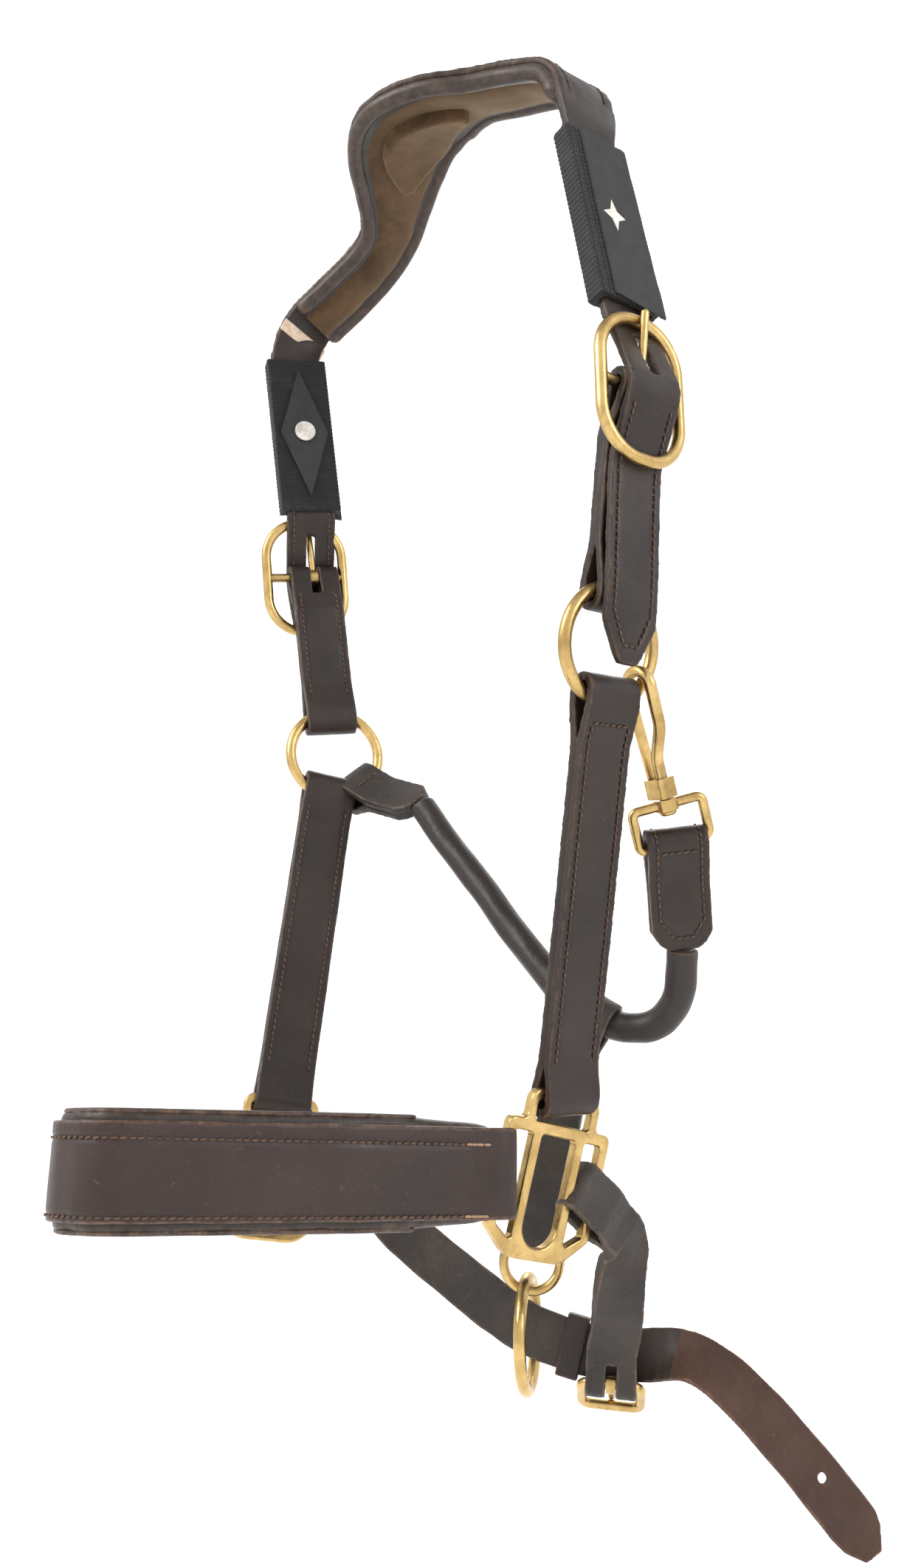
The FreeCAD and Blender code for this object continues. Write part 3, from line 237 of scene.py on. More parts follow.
def brass(name):
    """Cast brass, polished by handling, with painted shade darkening its corners dark brown."""
    s = Shader(name)
    broad = s.noise(0.014, 5.0, 0.6, warp=0.5)
    colour = s.ramp(broad, [(0.3, (0.36, 0.235, 0.085)), (0.65, (0.60, 0.42, 0.175))])
    tarnish = s.scale(s.noise(0.005, 5.0, 0.7, warp=1.0), 0.0, 0.6, 0.55, 0.75)
    colour = s.mix(tarnish, colour, (0.26, 0.15, 0.055))
    # Painted shade: concave spots darkened towards dark brown.
    painted_shade_in_hollows = s.scale(s.nodes.new("ShaderNodeNewGeometry").outputs["Pointiness"], 0.7, 0.0, 0.42, 0.5)
    colour = s.mix(painted_shade_in_hollows, colour, (0.12, 0.065, 0.028))
    rough = s.scale(s.noise(0.004, 5.0, 0.7), 0.2, 0.42, 0.3, 0.7)
    normal = s.bump(s.noise(0.0022, 4.0, 0.6), 0.00012, 0.35)
    s.set(Metallic=1.0)
    return s.finish(colour, rough, normal)


def webbing(name, matrix):
    """Black woven tape with ribs along it."""
    s = Shader(name)
    at = s.mapped(matrix, (1, 1, 1))
    across = s.bands(0.0017, "X", at)
    along = s.bands(0.00115, "Z", at)
    weave = s.math("MULTIPLY", across, along)
    colour = s.mix(s.scale(weave, 0.0, 0.8), (0.004, 0.004, 0.0045), (0.022, 0.021, 0.023))
    colour = s.mix(s.scale(s.noise(0.01, 4.0), 0.0, 0.35, 0.5, 0.7), colour, (0.03, 0.028, 0.027))
    normal = s.bump(weave, 0.0005, 0.9)
    s.set(Sheen_Weight=0.1, Specular_IOR_Level=0.3)
    return s.finish(colour, s.scale(s.noise(0.0015), 0.55, 0.8), normal)


def plain(name, dark, light, rough, depth=0.00008, grain=0.0012, **settings):
    """A moulded, printed or spun surface in one colour that varies a little."""
    s = Shader(name)
    colour = s.ramp(s.noise(0.006, 4.0, 0.6), [(0.35, dark), (0.65, light)])
    normal = s.bump(s.noise(grain, 3.0, 0.6), depth, 0.5)
    s.set(**settings)
    return s.finish(colour, s.scale(s.noise(0.003, 3.0), *rough), normal)


BROWN = leather("oiled_leather", (0.011, 0.0062, 0.0045), (0.030, 0.017, 0.0125), (0.15, 0.08, 0.045))
NOSE = leather("nose_leather", (0.019, 0.009, 0.0065), (0.040, 0.020, 0.0145), (0.22, 0.12, 0.075),
               (0.32, 0.48))
GREY = leather("grey_leather", (0.017, 0.0125, 0.010), (0.048, 0.036, 0.029), (0.20, 0.13, 0.085),
               (0.42, 0.6), 0.0006)
TAIL = leather("flesh_side", (0.040, 0.019, 0.012), (0.080, 0.040, 0.026), (0.28, 0.14, 0.08), (0.6, 0.8),
               0.0003, 0.003)
ROLLED = leather("rolled_leather", (0.012, 0.0085, 0.0065), (0.030, 0.021, 0.0165), (0.14, 0.08, 0.05),
                 (0.33, 0.5), 0.0003)
LINING = suede("suede_lining", (0.034, 0.017, 0.007), (0.105, 0.055, 0.023))
BRASS = brass("brass")
THREAD = plain("linen_thread", (0.045, 0.024, 0.015), (0.12, 0.065, 0.038), (0.55, 0.8))
PALE_THREAD = plain("worn_thread", (0.24, 0.14, 0.08), (0.42, 0.28, 0.18), (0.6, 0.8))
BLACK = plain("sleeve_cover", (0.006, 0.006, 0.0065), (0.016, 0.015, 0.015), (0.5, 0.72))
RUBBER = plain("rubber_plate", (0.007, 0.007, 0.008), (0.014, 0.014, 0.015), (0.42, 0.55))
PEARL = plain("pearl_stud", (0.42, 0.38, 0.34), (0.72, 0.68, 0.63), (0.12, 0.25), Coat_Weight=0.6)
PRINT = plain("emblem_print", (0.62, 0.58, 0.50), (0.80, 0.77, 0.70), (0.45, 0.65))
CREAM = plain("cream_band", (0.50, 0.36, 0.24), (0.74, 0.60, 0.46), (0.6, 0.85), 0.0003)
CORE = plain("core_cord", (0.03, 0.02, 0.015), (0.08, 0.05, 0.035), (0.7, 0.9), 0.0003)


# ---- mesh helpers -------------------------------------------------------------

WELD = 1e-6
# Voxel size in mm, smoothing passes and swelling in mm for each piece rebuilt from its solid.
FLAT_STRAP_CARE = (0.6, 3, 0.15)
CARE = {
    "crown_strap": (0.9, 3, 0.2),
    "crown_padding": (1, 8, 0.3),
    "poll_pad": (0.9, 12, 0.7),
    "crown_band": (0.4, 3, 0.1),
    "noseband_outer": (0.8, 3, 0.2),
    "noseband_padding": (1, 14, 0.9),
    "noseband_lining": (0.8, 8, 0.4),
    "throat_roll": (0.7, 4, 0.2),
    "throat_core": (0.5, 3, 0.1),
    "connecting_strap": (0.6, 3, 0.15),
    "chin_strap": (0.6, 3, 0.15),
    "chin_chape": (0.6, 3, 0.15),
    "chin_keeper": (0.5, 3, 0.1),
    "near_sleeve_web": (0.45, 3, 0),
    "near_sleeve_cover": (0.4, 2, 0.1),
    "off_sleeve_web": (0.45, 3, 0),
    "off_sleeve_cover": (0.4, 2, 0.1),
}


def link(name, mesh, material):
    obj = bpy.data.objects.new(name, mesh)
    bpy.context.scene.collection.objects.link(obj)
    mesh.materials.clear()
    mesh.materials.append(material)
    mesh.polygons.foreach_set("use_smooth", [True] * len(mesh.polygons))
    return obj


def settled(obj):
    """The object's mesh with its modifiers applied."""
    depsgraph = bpy.context.evaluated_depsgraph_get()
    mesh = bpy.data.meshes.new_from_object(obj.evaluated_get(depsgraph))
    bpy.data.objects.remove(obj)
    return mesh


def softened(node):
    """The node's solid in even quads with rounded edges."""
    voxel, passes, swell = CARE.get(node, FLAT_STRAP_CARE)
    mesh = NODES[node].data.copy()
    mesh.materials.clear()
    work = bmesh.new()
    work.from_mesh(mesh)
    bmesh.ops.remove_doubles(work, verts=work.verts, dist=WELD)
    work.to_mesh(mesh)
    work.free()
    obj = link(node + "_blank", mesh, BROWN)
    voxels = obj.modifiers.new("voxels", "REMESH")
    voxels.mode = "VOXEL"
    voxels.voxel_size = voxel * MM
    rounding = obj.modifiers.new("rounding", "SMOOTH")
    rounding.factor = 0.5
    rounding.iterations = passes
    if swell:
        fill = obj.modifiers.new("swell", "DISPLACE")
        fill.strength = swell * MM
        fill.mid_level = 0.0
    return settled(obj)


def arrays(mesh):
    count = len(mesh.vertices)
    places = np.zeros(count * 3, np.float32)
    normals = np.zeros(count * 3, np.float32)
    mesh.vertices.foreach_get("co", places)
    mesh.vertices.foreach_get("normal", normals)
    return places.reshape(-1, 3), normals.reshape(-1, 3)


def ripple(places, size):
    """Smooth hand-made unevenness, from -1 to 1, the same on each run."""
    total = np.zeros(len(places))
    turns = ((1.0, 0.31, -0.52), (-0.43, 0.94, 0.37), (0.58, -0.36, 1.1), (0.9, 0.8, 0.2))
    for i, turn in enumerate(turns):
        along = places @ np.array(turn)
        total += np.sin(along * (2 * math.pi / size) * (1 + 0.37 * i) + 1.7 * i)
    return total / len(turns)


def strap_axes(node, out):
    """Length, width and outward directions of a strap cut from flat leather."""
    mesh = NODES[node].data
    count = len(mesh.polygons)
    normals = np.zeros(count * 3, np.float32)
    areas = np.zeros(count, np.float32)
    mesh.polygons.foreach_get("normal", normals)
    mesh.polygons.foreach_get("area", areas)
    normals = normals.reshape(-1, 3)
    places, _ = arrays(mesh)
    spread = (normals * areas[:, None]).T @ normals
    vectors = np.linalg.eigh(spread)[1].T

    def mixed(axis):
        share = (normals @ axis) ** 2
        return float((areas * share * (1 - share)).sum())

    width = min(vectors, key=mixed)
    flat = places - places.mean(0)
    flat = flat - np.outer(flat @ width, width)
    length = Vector(np.linalg.eigh(flat.T @ flat)[1][:, 2])
    width = Vector(width)
    if length.dot(UP) < 0:
        length = -length
    across = length.cross(width).normalized()
    if across.dot(out) < 0:
        across = -across
    width = across.cross(length).normalized()
    return length, width, across


class Strap:
    """A dressed strap with its own directions, its ends and its surface for laying stitches."""

    def __init__(self, node, out, mesh):
        self.length, self.width, self.out = strap_axes(node, out)
        places, _ = arrays(NODES[node].data)
        self.centre = Vector((places.min(0) + places.max(0)) / 2)
        rest = places - np.array(self.centre)
        self.low = float((rest @ np.array(self.length)).min())
        self.high = float((rest @ np.array(self.length)).max())
        side = rest @ np.array(self.width)
        self.centre = self.centre + self.width * float((side.min() + side.max()) / 2)
        self.half = float(side.max() - side.min()) / 2
        self.surface = BVHTree.FromPolygons([v.co for v in mesh.vertices],
                                            [p.vertices for p in mesh.polygons])

    def on(self, along, side, face):
        """Point and normal of the surface, seen from outside (face 1) or inside (face -1)."""
        start = self.centre + self.length * along + self.width * side + self.out * (0.06 * face)
        place, normal, _, _ = self.surface.ray_cast(start, self.out * -face, 0.12)
        return (place, normal) if place else None

    def line(self, points, face, step=0.0005):
        """Surface points under a path of (distance up from the low end, distance from the middle)."""
        found = []
        for (a, b), (c, d) in zip(points, points[1:]):
            count = max(int(math.hypot(c - a, d - b) / step), 1)
            for i in range(count):
                share = i / count
                hit = self.on(self.low + a + (c - a) * share, b + (d - b) * share, face)
                if hit:
                    found.append(hit)
        return found


def groove(mesh, seams, depth, reach):
    """Presses the leather down along the seams."""
    points = [place for seam in seams for place, _ in seam]
    if not points:
        return
    near = KDTree(len(points))
    for i, point in enumerate(points):
        near.insert(point, i)
    near.balance()
    for vertex in mesh.vertices:
        distance = near.find(vertex.co)[2]
        if distance < reach:
            vertex.co = vertex.co - vertex.normal * (depth * (1 - (distance / reach) ** 2))


STITCH_SIDES = 6
STITCH_PITCH = 2.9 * MM
STITCH_LENGTH = 2.3 * MM
STITCH_RADIUS = 0.42 * MM
STITCH_SLANT_DEG = 9.0
SEAM_BREAK = 4.0 * MM
STITCH_RINGS = ((-0.82, 0.72), (-0.3, 1.0), (0.3, 1.0), (0.82, 0.72))


def stitches(name, seams, material, body, pitch=STITCH_PITCH, length=STITCH_LENGTH, radius=STITCH_RADIUS,
             slant=STITCH_SLANT_DEG):
    """Short slanted threads, one after another along each seam, as one piece."""
    vertices, faces = [], []
    for seam in seams:
        travelled = 0.0
        for (place, normal), (beyond, _) in zip(seam, seam[1:]):
            step = (beyond - place).length
            if step > SEAM_BREAK:
                continue
            travelled += step
            if travelled < pitch:
                continue
            travelled -= pitch
            along = (beyond - place).normalized()
            side = normal.cross(along).normalized()
            along = (along + side * math.tan(math.radians(slant))).normalized()
            side = normal.cross(along).normalized()
            base = len(vertices)
            middle = place + normal * (radius * 0.15)
            vertices.append(middle - along * (length / 2))
            for at, size in STITCH_RINGS:
                for i in range(STITCH_SIDES):
                    angle = 2 * math.pi * i / STITCH_SIDES
                    off = side * math.cos(angle) + normal * math.sin(angle)
                    vertices.append(middle + along * (at * length / 2) + off * (radius * size))
            vertices.append(middle + along * (length / 2))
            last = len(vertices) - 1
            for i in range(STITCH_SIDES):
                j = (i + 1) % STITCH_SIDES
                faces.append((base, base + 1 + j, base + 1 + i))
                for ring in range(len(STITCH_RINGS) - 1):
                    a = base + 1 + ring * STITCH_SIDES
                    faces.append((a + i, a + j, a + STITCH_SIDES + j, a + STITCH_SIDES + i))
                top = last - STITCH_SIDES
                faces.append((top + i, top + j, last))
    if not vertices:
        return None
    mesh = bpy.data.meshes.new(name)
    mesh.from_pydata([tuple(v) for v in vertices], [], faces)
    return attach(link(name, mesh, material), body)


def body_of(node):
    return NODES[node]["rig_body"]


def dressed(node, mesh, material):
    obj = link(node + "_made", mesh, material)
    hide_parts(node)
    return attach(obj, body_of(node))


def uneven(mesh, size, depth):
    places, normals = arrays(mesh)
    places = places + normals * (ripple(places, size) * depth)[:, None]
    mesh.vertices.foreach_set("co", places.astype(np.float32).ravel())
    mesh.update()


def layered(mesh, strap, depth=0.0004, reach=0.0008):
    """A parting line round the edge of a strap made of two layers."""
    places, normals = arrays(mesh)
    rest = places - np.array(strap.centre)
    out = np.array(strap.out)
    sides = np.abs(normals @ np.array(strap.width)) > 0.6
    middle = np.median((rest @ out)[sides]) if sides.any() else 0.0
    away = np.abs(rest @ out - middle)
    inside = sides & (away < reach)
    places[inside] -= normals[inside] * (depth * (1 - (away[inside] / reach) ** 2))[:, None]
    mesh.vertices.foreach_set("co", places.astype(np.float32).ravel())
    mesh.update()


SEAM_DEPTH = 0.3 * MM
SEAM_REACH = 1.3 * MM
WIDE_SEAM_DEPTH = 0.4 * MM
WIDE_SEAM_REACH = 1.5 * MM
STRAP_RIPPLE = 31 * MM
STRAP_RIPPLE_DEPTH = 0.12 * MM


def flat_strap(node, material, side, outlines, faces=(1, -1), doubled=True):
    """Dresses one flat strap and sews it along its outlines."""
    mesh = softened(node)
    strap = Strap(node, OUTWARD[side], mesh)
    seams = [strap.line(outline(strap), face) for outline in outlines for face in faces]
    if doubled:
        layered(mesh, strap)
    groove(mesh, seams, SEAM_DEPTH, SEAM_REACH)
    uneven(mesh, STRAP_RIPPLE, STRAP_RIPPLE_DEPTH)
    dressed(node, mesh, material)
    stitches(node + "_thread", seams, THREAD, body_of(node))
    return strap


# ---- brass, rubber and print keep their CAD shape ------------------------------

FINISHES = {
    BRASS: ("near_cheek_ring", "off_cheek_ring", "near_buckle_frame", "off_buckle_frame",
            "near_buckle_tongue", "off_buckle_tongue", "near_square", "off_square", "snap_eye", "snap_hook",
            "snap_gate", "dee_ring", "lead_ring", "chin_buckle_frame", "chin_buckle_tongue"),
    RUBBER: ("near_sleeve_plate", "off_sleeve_plate"),
    PEARL: ("near_sleeve_stud", "off_sleeve_stud"),
    PRINT: ("near_sleeve_emblem", "off_sleeve_emblem"),
}
for finish, names in FINISHES.items():
    for name in names:
        NODES[name].data.materials.clear()
        NODES[name].data.materials.append(finish)


# ---- straps of the two sides ---------------------------------------------------

def edge_lines(bottom, top, margin):
    """Two stitch lines along a strap, by their distances from its ends and its edges."""
    def left(strap):
        return [(bottom, margin - strap.half), (strap.high - strap.low - top, margin - strap.half)]

    def right(strap):
        return [(strap.high - strap.low - top, strap.half - margin), (bottom, strap.half - margin)]

    return [left, right]


def cross_line(from_top, margin):
    """A stitch line across a strap near its top end."""
    def across(strap):
        height = strap.high - strap.low - from_top
        return [(height, margin - strap.half), (height, strap.half - margin)]

    return across


STRAP_MARGIN = 3.2 * MM
for side in ("near", "off"):
    flat_strap(side + "_buckle_strap", BROWN, side, edge_lines(0.019, 0.017, STRAP_MARGIN))
    cheek_seams = edge_lines(0.021, 0.019, STRAP_MARGIN)
    if side == "near":
        cheek_seams.append(cross_line(0.019, STRAP_MARGIN))
    flat_strap(side + "_cheekpiece", BROWN, side, cheek_seams)


def billet_tail(strap):
    """Round the pointed end of the near billet and up both edges."""
    wide = strap.half - STRAP_MARGIN
    return [(0.098, -wide), (0.019, -wide), (0.0065, -0.0036),
            (0.0065, 0.0036), (0.019, wide), (0.098, wide)]


near_billet = flat_strap("near_billet", BROWN, "near", [billet_tail], faces=(1,),
                         doubled=False)
billet_seams = edge_lines(30 * MM, 12 * MM, STRAP_MARGIN)
off_billet = flat_strap("off_billet", BROWN, "off", billet_seams, doubled=False)


def tab_outline(strap):
    wide = strap.half - STRAP_MARGIN
    return [(0.05, -wide), (0.012, -wide), (0.005, -0.004), (0.005, 0.004), (0.012, wide), (0.05, wide)]


flat_strap("throat_near_tab", BROWN, "near", [tab_outline, cross_line(0.009, 0.004)])
flat_strap("throat_off_tab", GREY, "off", [cross_line(0.02, 0.004)])


# ---- sleeves -------------------------------------------------------------------

RIB_WIDTH = 3.4 * MM
RIB_PITCH = 2.3 * MM
RIB_HEIGHT = 0.7 * MM


def ribbed(mesh, width, length):
    """Raises thick woven ribs along the tape, each crossed by its weft."""
    places, normals = arrays(mesh)
    across = places @ np.array(width)
    along = places @ np.array(length)
    column = np.floor(across / RIB_WIDTH)
    round_rib = np.sqrt(np.abs(np.sin(math.pi * across / RIB_WIDTH)))
    knots = np.abs(np.sin(math.pi * (along / RIB_PITCH + 0.5 * (column % 2))))
    height = RIB_HEIGHT * (round_rib * (0.45 + 0.55 * knots) - 0.5)
    facing = 1 - np.abs(normals @ np.array(length))
    places = places + normals * (height * facing)[:, None]
    mesh.vertices.foreach_set("co", places.astype(np.float32).ravel())
    mesh.update()


for side in ("near", "off"):
    web = side + "_sleeve_web"
    length, width, out = strap_axes(web, OUTWARD[side])
    tape = webbing(side + "_webbing", Matrix((width, out, length)))
    tape_mesh = softened(web)
    ribbed(tape_mesh, width, length)
    dressed(web, tape_mesh, tape)
    cover = side + "_sleeve_cover"
    mesh = softened(cover)
    uneven(mesh, 40 * MM, 0.2 * MM)
    dressed(cover, mesh, BLACK)


# ---- crown ---------------------------------------------------------------------

# Place of the outer leather's underside over the head, its width and its lean: mm and degrees.
CROWN = [
    (101.2, 0.7, -51.1, 27, 0), (99.2, 3.7, -31.1, 33, 3), (90.2, 7.2, -14.1, 38, 8),
    (73.2, 7.2, -2.1, 39, 12), (49.2, 2.2, 4.9, 45, 15), (27.2, -4.3, 9.9, 57, 18),
    (5.2, -5.3, 11.4, 65, 18), (-13.8, 1.7, 10.4, 59, 18), (-29.8, 11.7, 6.4, 47, 16),
    (-43.8, 21.2, 1.4, 38, 15), (-56.8, 27.7, -5.6, 33, 14), (-70.8, 27.7, -15.1, 32, 12),
    (-87.8, 22.2, -27.6, 31.5, 8), (-103.8, 15.7, -40.1, 29.5, 3), (-113.2, 11.9, -53.7, 27, 0),
]
CROWN_STEPS = 12
CROWN_SOFT_START = 2 * CROWN_STEPS // 3
CROWN_SOFT_END = CROWN_STEPS
PIPING_RADIUS = 3.8 * MM
PIPING_INSET = 1.8 * MM
PIPING_DROP = 3.2 * MM
CROWN_SEAM_MARGIN = 5.5 * MM
CROWN_SEAM_HEIGHT = 3.5 * MM
LINING_MARGIN = 5.5 * MM
LINING_TOP = -4.6 * MM
LINING_UNDER = -6.3 * MM
LINING_CROWNING = 0.9 * MM


def smooth(rows, steps):
    """Catmull-Rom rows between rows of numbers."""
    made = []
    last = len(rows) - 1
    for i in range(last):
        a, b, c, d = rows[max(i - 1, 0)], rows[i], rows[i + 1], rows[min(i + 2, last)]
        for step in range(steps):
            t = step / steps
            made.append([0.5 * (2 * q + (r - p) * t + (2 * p - 5 * q + 4 * r - s) * t * t
                                + (3 * q - p - 3 * r + s) * t ** 3) for p, q, r, s in zip(a, b, c, d)])
    made.append(list(rows[-1]))
    return made


def crown_stations():
    rows = smooth(CROWN, CROWN_STEPS)
    places = [Vector(row[:3]) * MM for row in rows]
    stations = []
    for i, row in enumerate(rows):
        along = (places[min(i + 1, len(rows) - 1)] - places[max(i - 1, 0)]).normalized()
        lean = math.radians(row[4])
        across = Vector((0, math.cos(lean), math.sin(lean)))
        across = (across - along * across.dot(along)).normalized()
        normal = along.cross(across).normalized()
        if stations and normal.dot(stations[-1][2]) < 0 or not stations and normal.x < 0:
            normal = -normal
        stations.append((places[i], across, normal, row[3] * MM))
    return stations


def surface_of(mesh):
    return BVHTree.FromPolygons([v.co for v in mesh.vertices], [p.vertices for p in mesh.polygons])


def crown_seam(path, sign):
    """Surface points along one edge of the crown's outer leather."""
    seam = []
    for (p, a, n, w), (q, b, m, u) in zip(path, path[1:]):
        for share in (0.0, 0.25, 0.5, 0.75):
            side = sign * ((w + (u - w) * share) / 2 - CROWN_SEAM_MARGIN)
            place = p.lerp(q, share) + a.lerp(b, share) * side + n.lerp(m, share) * CROWN_SEAM_HEIGHT
            hit, normal, _, _ = crown_tree.find_nearest(place)
            if hit:
                seam.append((hit, normal))
    return seam


def tube(name, points, radius, material, sides=14):
    """A round cord along the points, closed at both ends."""
    vertices, faces = [], []
    lift = UP
    for i, point in enumerate(points):
        along = (points[min(i + 1, len(points) - 1)] - points[max(i - 1, 0)]).normalized()
        lift = (lift - along * lift.dot(along)).normalized()
        side = along.cross(lift)
        share = min(i, len(points) - 1 - i) / 3
        size = radius * math.sqrt(1 - (1 - min(share, 1)) ** 2 * 0.9)
        for j in range(sides):
            angle = 2 * math.pi * j / sides
            vertices.append(point + (lift * math.cos(angle) + side * math.sin(angle)) * size)
    for i in range(len(points) - 1):
        for j in range(sides):
            k = (j + 1) % sides
            faces.append((i * sides + j, i * sides + k, (i + 1) * sides + k, (i + 1) * sides + j))
    faces.append(tuple(range(sides))[::-1])
    faces.append(tuple(range(len(vertices) - sides, len(vertices))))
    mesh = bpy.data.meshes.new(name)
    mesh.from_pydata([tuple(v) for v in vertices], [], faces)
    return link(name, mesh, material)


stations = crown_stations()
crown_mesh = softened("crown_strap")
crown_tree = surface_of(crown_mesh)
crown_seams = [crown_seam(stations[6:-6], sign) for sign in (1, -1)]
groove(crown_mesh, crown_seams, WIDE_SEAM_DEPTH, WIDE_SEAM_REACH)
uneven(crown_mesh, 45 * MM, 0.2 * MM)
dressed("crown_strap", crown_mesh, BROWN)
stitches("crown_thread", crown_seams, THREAD, "root", pitch=0.0034, length=0.0027)

ELBOW_BACK = 16
ELBOW_INTO = 9.0 * MM
ELBOW_PULL = 11.0 * MM
ELBOW_PROUD = 0.25 * MM
ELBOW_STEPS = 24
ELBOW_SECTION = ((-1, -1), (-0.9, -1), (0, -1), (0.9, -1), (1, -1),
                 (1, 1), (0.9, 1), (0, 1), (-0.9, 1), (-1, 1))
ROUNDED_VOXEL = 0.6 * MM


def rounded(name, vertices, faces, material):
    """A strap made from a plain loft, with its edges rounded."""
    mesh = bpy.data.meshes.new(name)
    mesh.from_pydata([tuple(v) for v in vertices], [], faces)
    obj = link(name + "_blank", mesh, material)
    voxels = obj.modifiers.new("voxels", "REMESH")
    voxels.mode = "VOXEL"
    voxels.voxel_size = ROUNDED_VOXEL
    rounding = obj.modifiers.new("rounding", "SMOOTH")
    rounding.iterations = 3
    piece = link(name, settled(obj), material)
    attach(piece, "root")


def crown_elbow(name, billet, path):
    """One end of the crown, bending down to the billet inside the sleeve."""
    start, across, out, wide = path[-ELBOW_BACK]
    along = (path[2 - ELBOW_BACK][0] - start).normalized()
    top = crown_tree.ray_cast(start + out * 0.03, -out, 0.05)[0]
    thick = (top - start).dot(out)
    height = billet.high - ELBOW_INTO
    outer = billet.on(height, 0.0, 1)[0]
    inner = billet.on(height, 0.0, -1)[0]
    end_across = billet.width if billet.width.dot(across) > 0 else -billet.width
    end_out = billet.out if billet.out.dot(out) > 0 else -billet.out
    end_thick = abs((outer - inner).dot(end_out))
    middle = start + out * (thick / 2)
    end = (outer + inner) / 2
    bends = (middle, middle + along * ELBOW_PULL, end + billet.length * ELBOW_PULL, end)
    vertices, faces = [], []
    for i in range(ELBOW_STEPS + 1):
        t = i / ELBOW_STEPS
        shares = ((1 - t) ** 3, 3 * t * (1 - t) ** 2, 3 * t * t * (1 - t), t ** 3)
        place = sum((bend * share for bend, share in zip(bends, shares)), Vector())
        ease = t * t * (3 - 2 * t)
        side = across.lerp(end_across, ease).normalized()
        lift = out.lerp(end_out, ease)
        lift = (lift - side * lift.dot(side)).normalized()
        half = (wide + (2 * billet.half - wide) * ease) / 2
        deep = (thick + (end_thick - thick) * ease) / 2 + ELBOW_PROUD
        for u, v in ELBOW_SECTION:
            vertices.append(place + side * (u * half) + lift * (v * deep))
    ring = len(ELBOW_SECTION)
    for row in range(ELBOW_STEPS):
        for i in range(ring):
            j = (i + 1) % ring
            faces.append((row * ring + i, row * ring + j, (row + 1) * ring + j, (row + 1) * ring + i))
    faces.append(tuple(range(ring))[::-1])
    faces.append(tuple(range(len(vertices) - ring, len(vertices))))
    rounded(name, vertices, faces, BROWN)


crown_elbow("crown_elbow_off", off_billet, stations)
crown_elbow("crown_elbow_near", near_billet, stations[::-1])
soft = stations[CROWN_SOFT_START:-CROWN_SOFT_END]
for sign, label in ((1, "rear"), (-1, "front")):
    edge = [p + a * (sign * (w / 2 - PIPING_INSET)) - n * PIPING_DROP for p, a, n, w in soft]
    piping = tube("crown_piping_" + label, edge, PIPING_RADIUS, ROLLED)
    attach(piping, "root")

padding = dressed("crown_padding", softened("crown_padding"), ROLLED)


def crown_lining():
    """Suede panel inside the rolled edges, fuller along its middle."""
    vertices, faces = [], []
    cuts = 17
    for p, a, n, w in soft:
        half = w / 2 - LINING_MARGIN
        for i in range(cuts):
            share = 2 * i / (cuts - 1) - 1
            swell = 1 - share ** 4
            vertices.append(p + a * (share * half) + n * (LINING_TOP + (LINING_UNDER - LINING_TOP) * swell
                                                         - LINING_CROWNING * (1 - share * share)))
        for i in range(cuts):
            share = 1 - 2 * i / (cuts - 1)
            vertices.append(p + a * (share * half) + n * (LINING_TOP + 0.0002))
    ring = 2 * cuts
    for row in range(len(soft) - 1):
        for i in range(ring):
            j = (i + 1) % ring
            faces.append((row * ring + i, row * ring + j, (row + 1) * ring + j, (row + 1) * ring + i))
    faces.append(tuple(range(ring))[::-1])
    faces.append(tuple(range(len(vertices) - ring, len(vertices))))
    mesh = bpy.data.meshes.new("crown_lining_made")
    mesh.from_pydata([tuple(v) for v in vertices], [], faces)
    uneven(mesh, 30 * MM, 0.3 * MM)
    dressed("crown_lining", mesh, LINING)


crown_lining()
poll_mesh = softened("poll_pad")
uneven(poll_mesh, 50 * MM, 0.4 * MM)
poll = dressed("poll_pad", poll_mesh, LINING)
dressed("crown_band", softened("crown_band"), CREAM)


# ---- noseband ------------------------------------------------------------------

BAND_UP = Vector((-0.03, 0.05, 1.0)).normalized()
NOSE_CENTRE = Vector((-0.010, -0.060, -0.4701))
NOSE_STITCH_RISE = 12.4 * MM
NOSE_FIRST_DEG = 27
NOSE_LAST_DEG = -205

nose_mesh = softened("noseband_outer")
nose_tree = surface_of(nose_mesh)


def nose_seam(rise, first, last):
    """Surface points round the outside of the noseband at one height."""
    seam = []
    step = 0.2
    for i in range(int((first - last) / step)):
        angle = math.radians(first - i * step)
        away = Vector((math.cos(angle), math.sin(angle), 0))
        away = (away - BAND_UP * away.dot(BAND_UP)).normalized()
        start = NOSE_CENTRE + BAND_UP * rise + away * 0.2
        place, normal, _, _ = nose_tree.ray_cast(start, -away, 0.25)
        if place:
            seam.append((place, normal))
    return seam


nose_rises = (NOSE_STITCH_RISE, -NOSE_STITCH_RISE)
nose_seams = [nose_seam(rise, NOSE_FIRST_DEG, NOSE_LAST_DEG) for rise in nose_rises]
groove(nose_mesh, nose_seams, WIDE_SEAM_DEPTH, WIDE_SEAM_REACH)
uneven(nose_mesh, 50 * MM, 0.2 * MM)
dressed("noseband_outer", nose_mesh, NOSE)
stitches("noseband_thread", nose_seams, THREAD, "root")
TACK_SPAN_DEG = 3.6
tacks = []
for rise in nose_rises:
    tacks.append(nose_seam(rise, NOSE_FIRST_DEG + TACK_SPAN_DEG, NOSE_FIRST_DEG - 0.4))
    tacks.append(nose_seam(rise, NOSE_LAST_DEG + 0.4, NOSE_LAST_DEG - TACK_SPAN_DEG))
stitches("noseband_tacks", tacks, PALE_THREAD, "root", pitch=0.0022, length=0.0026, radius=0.0005, slant=0.0)

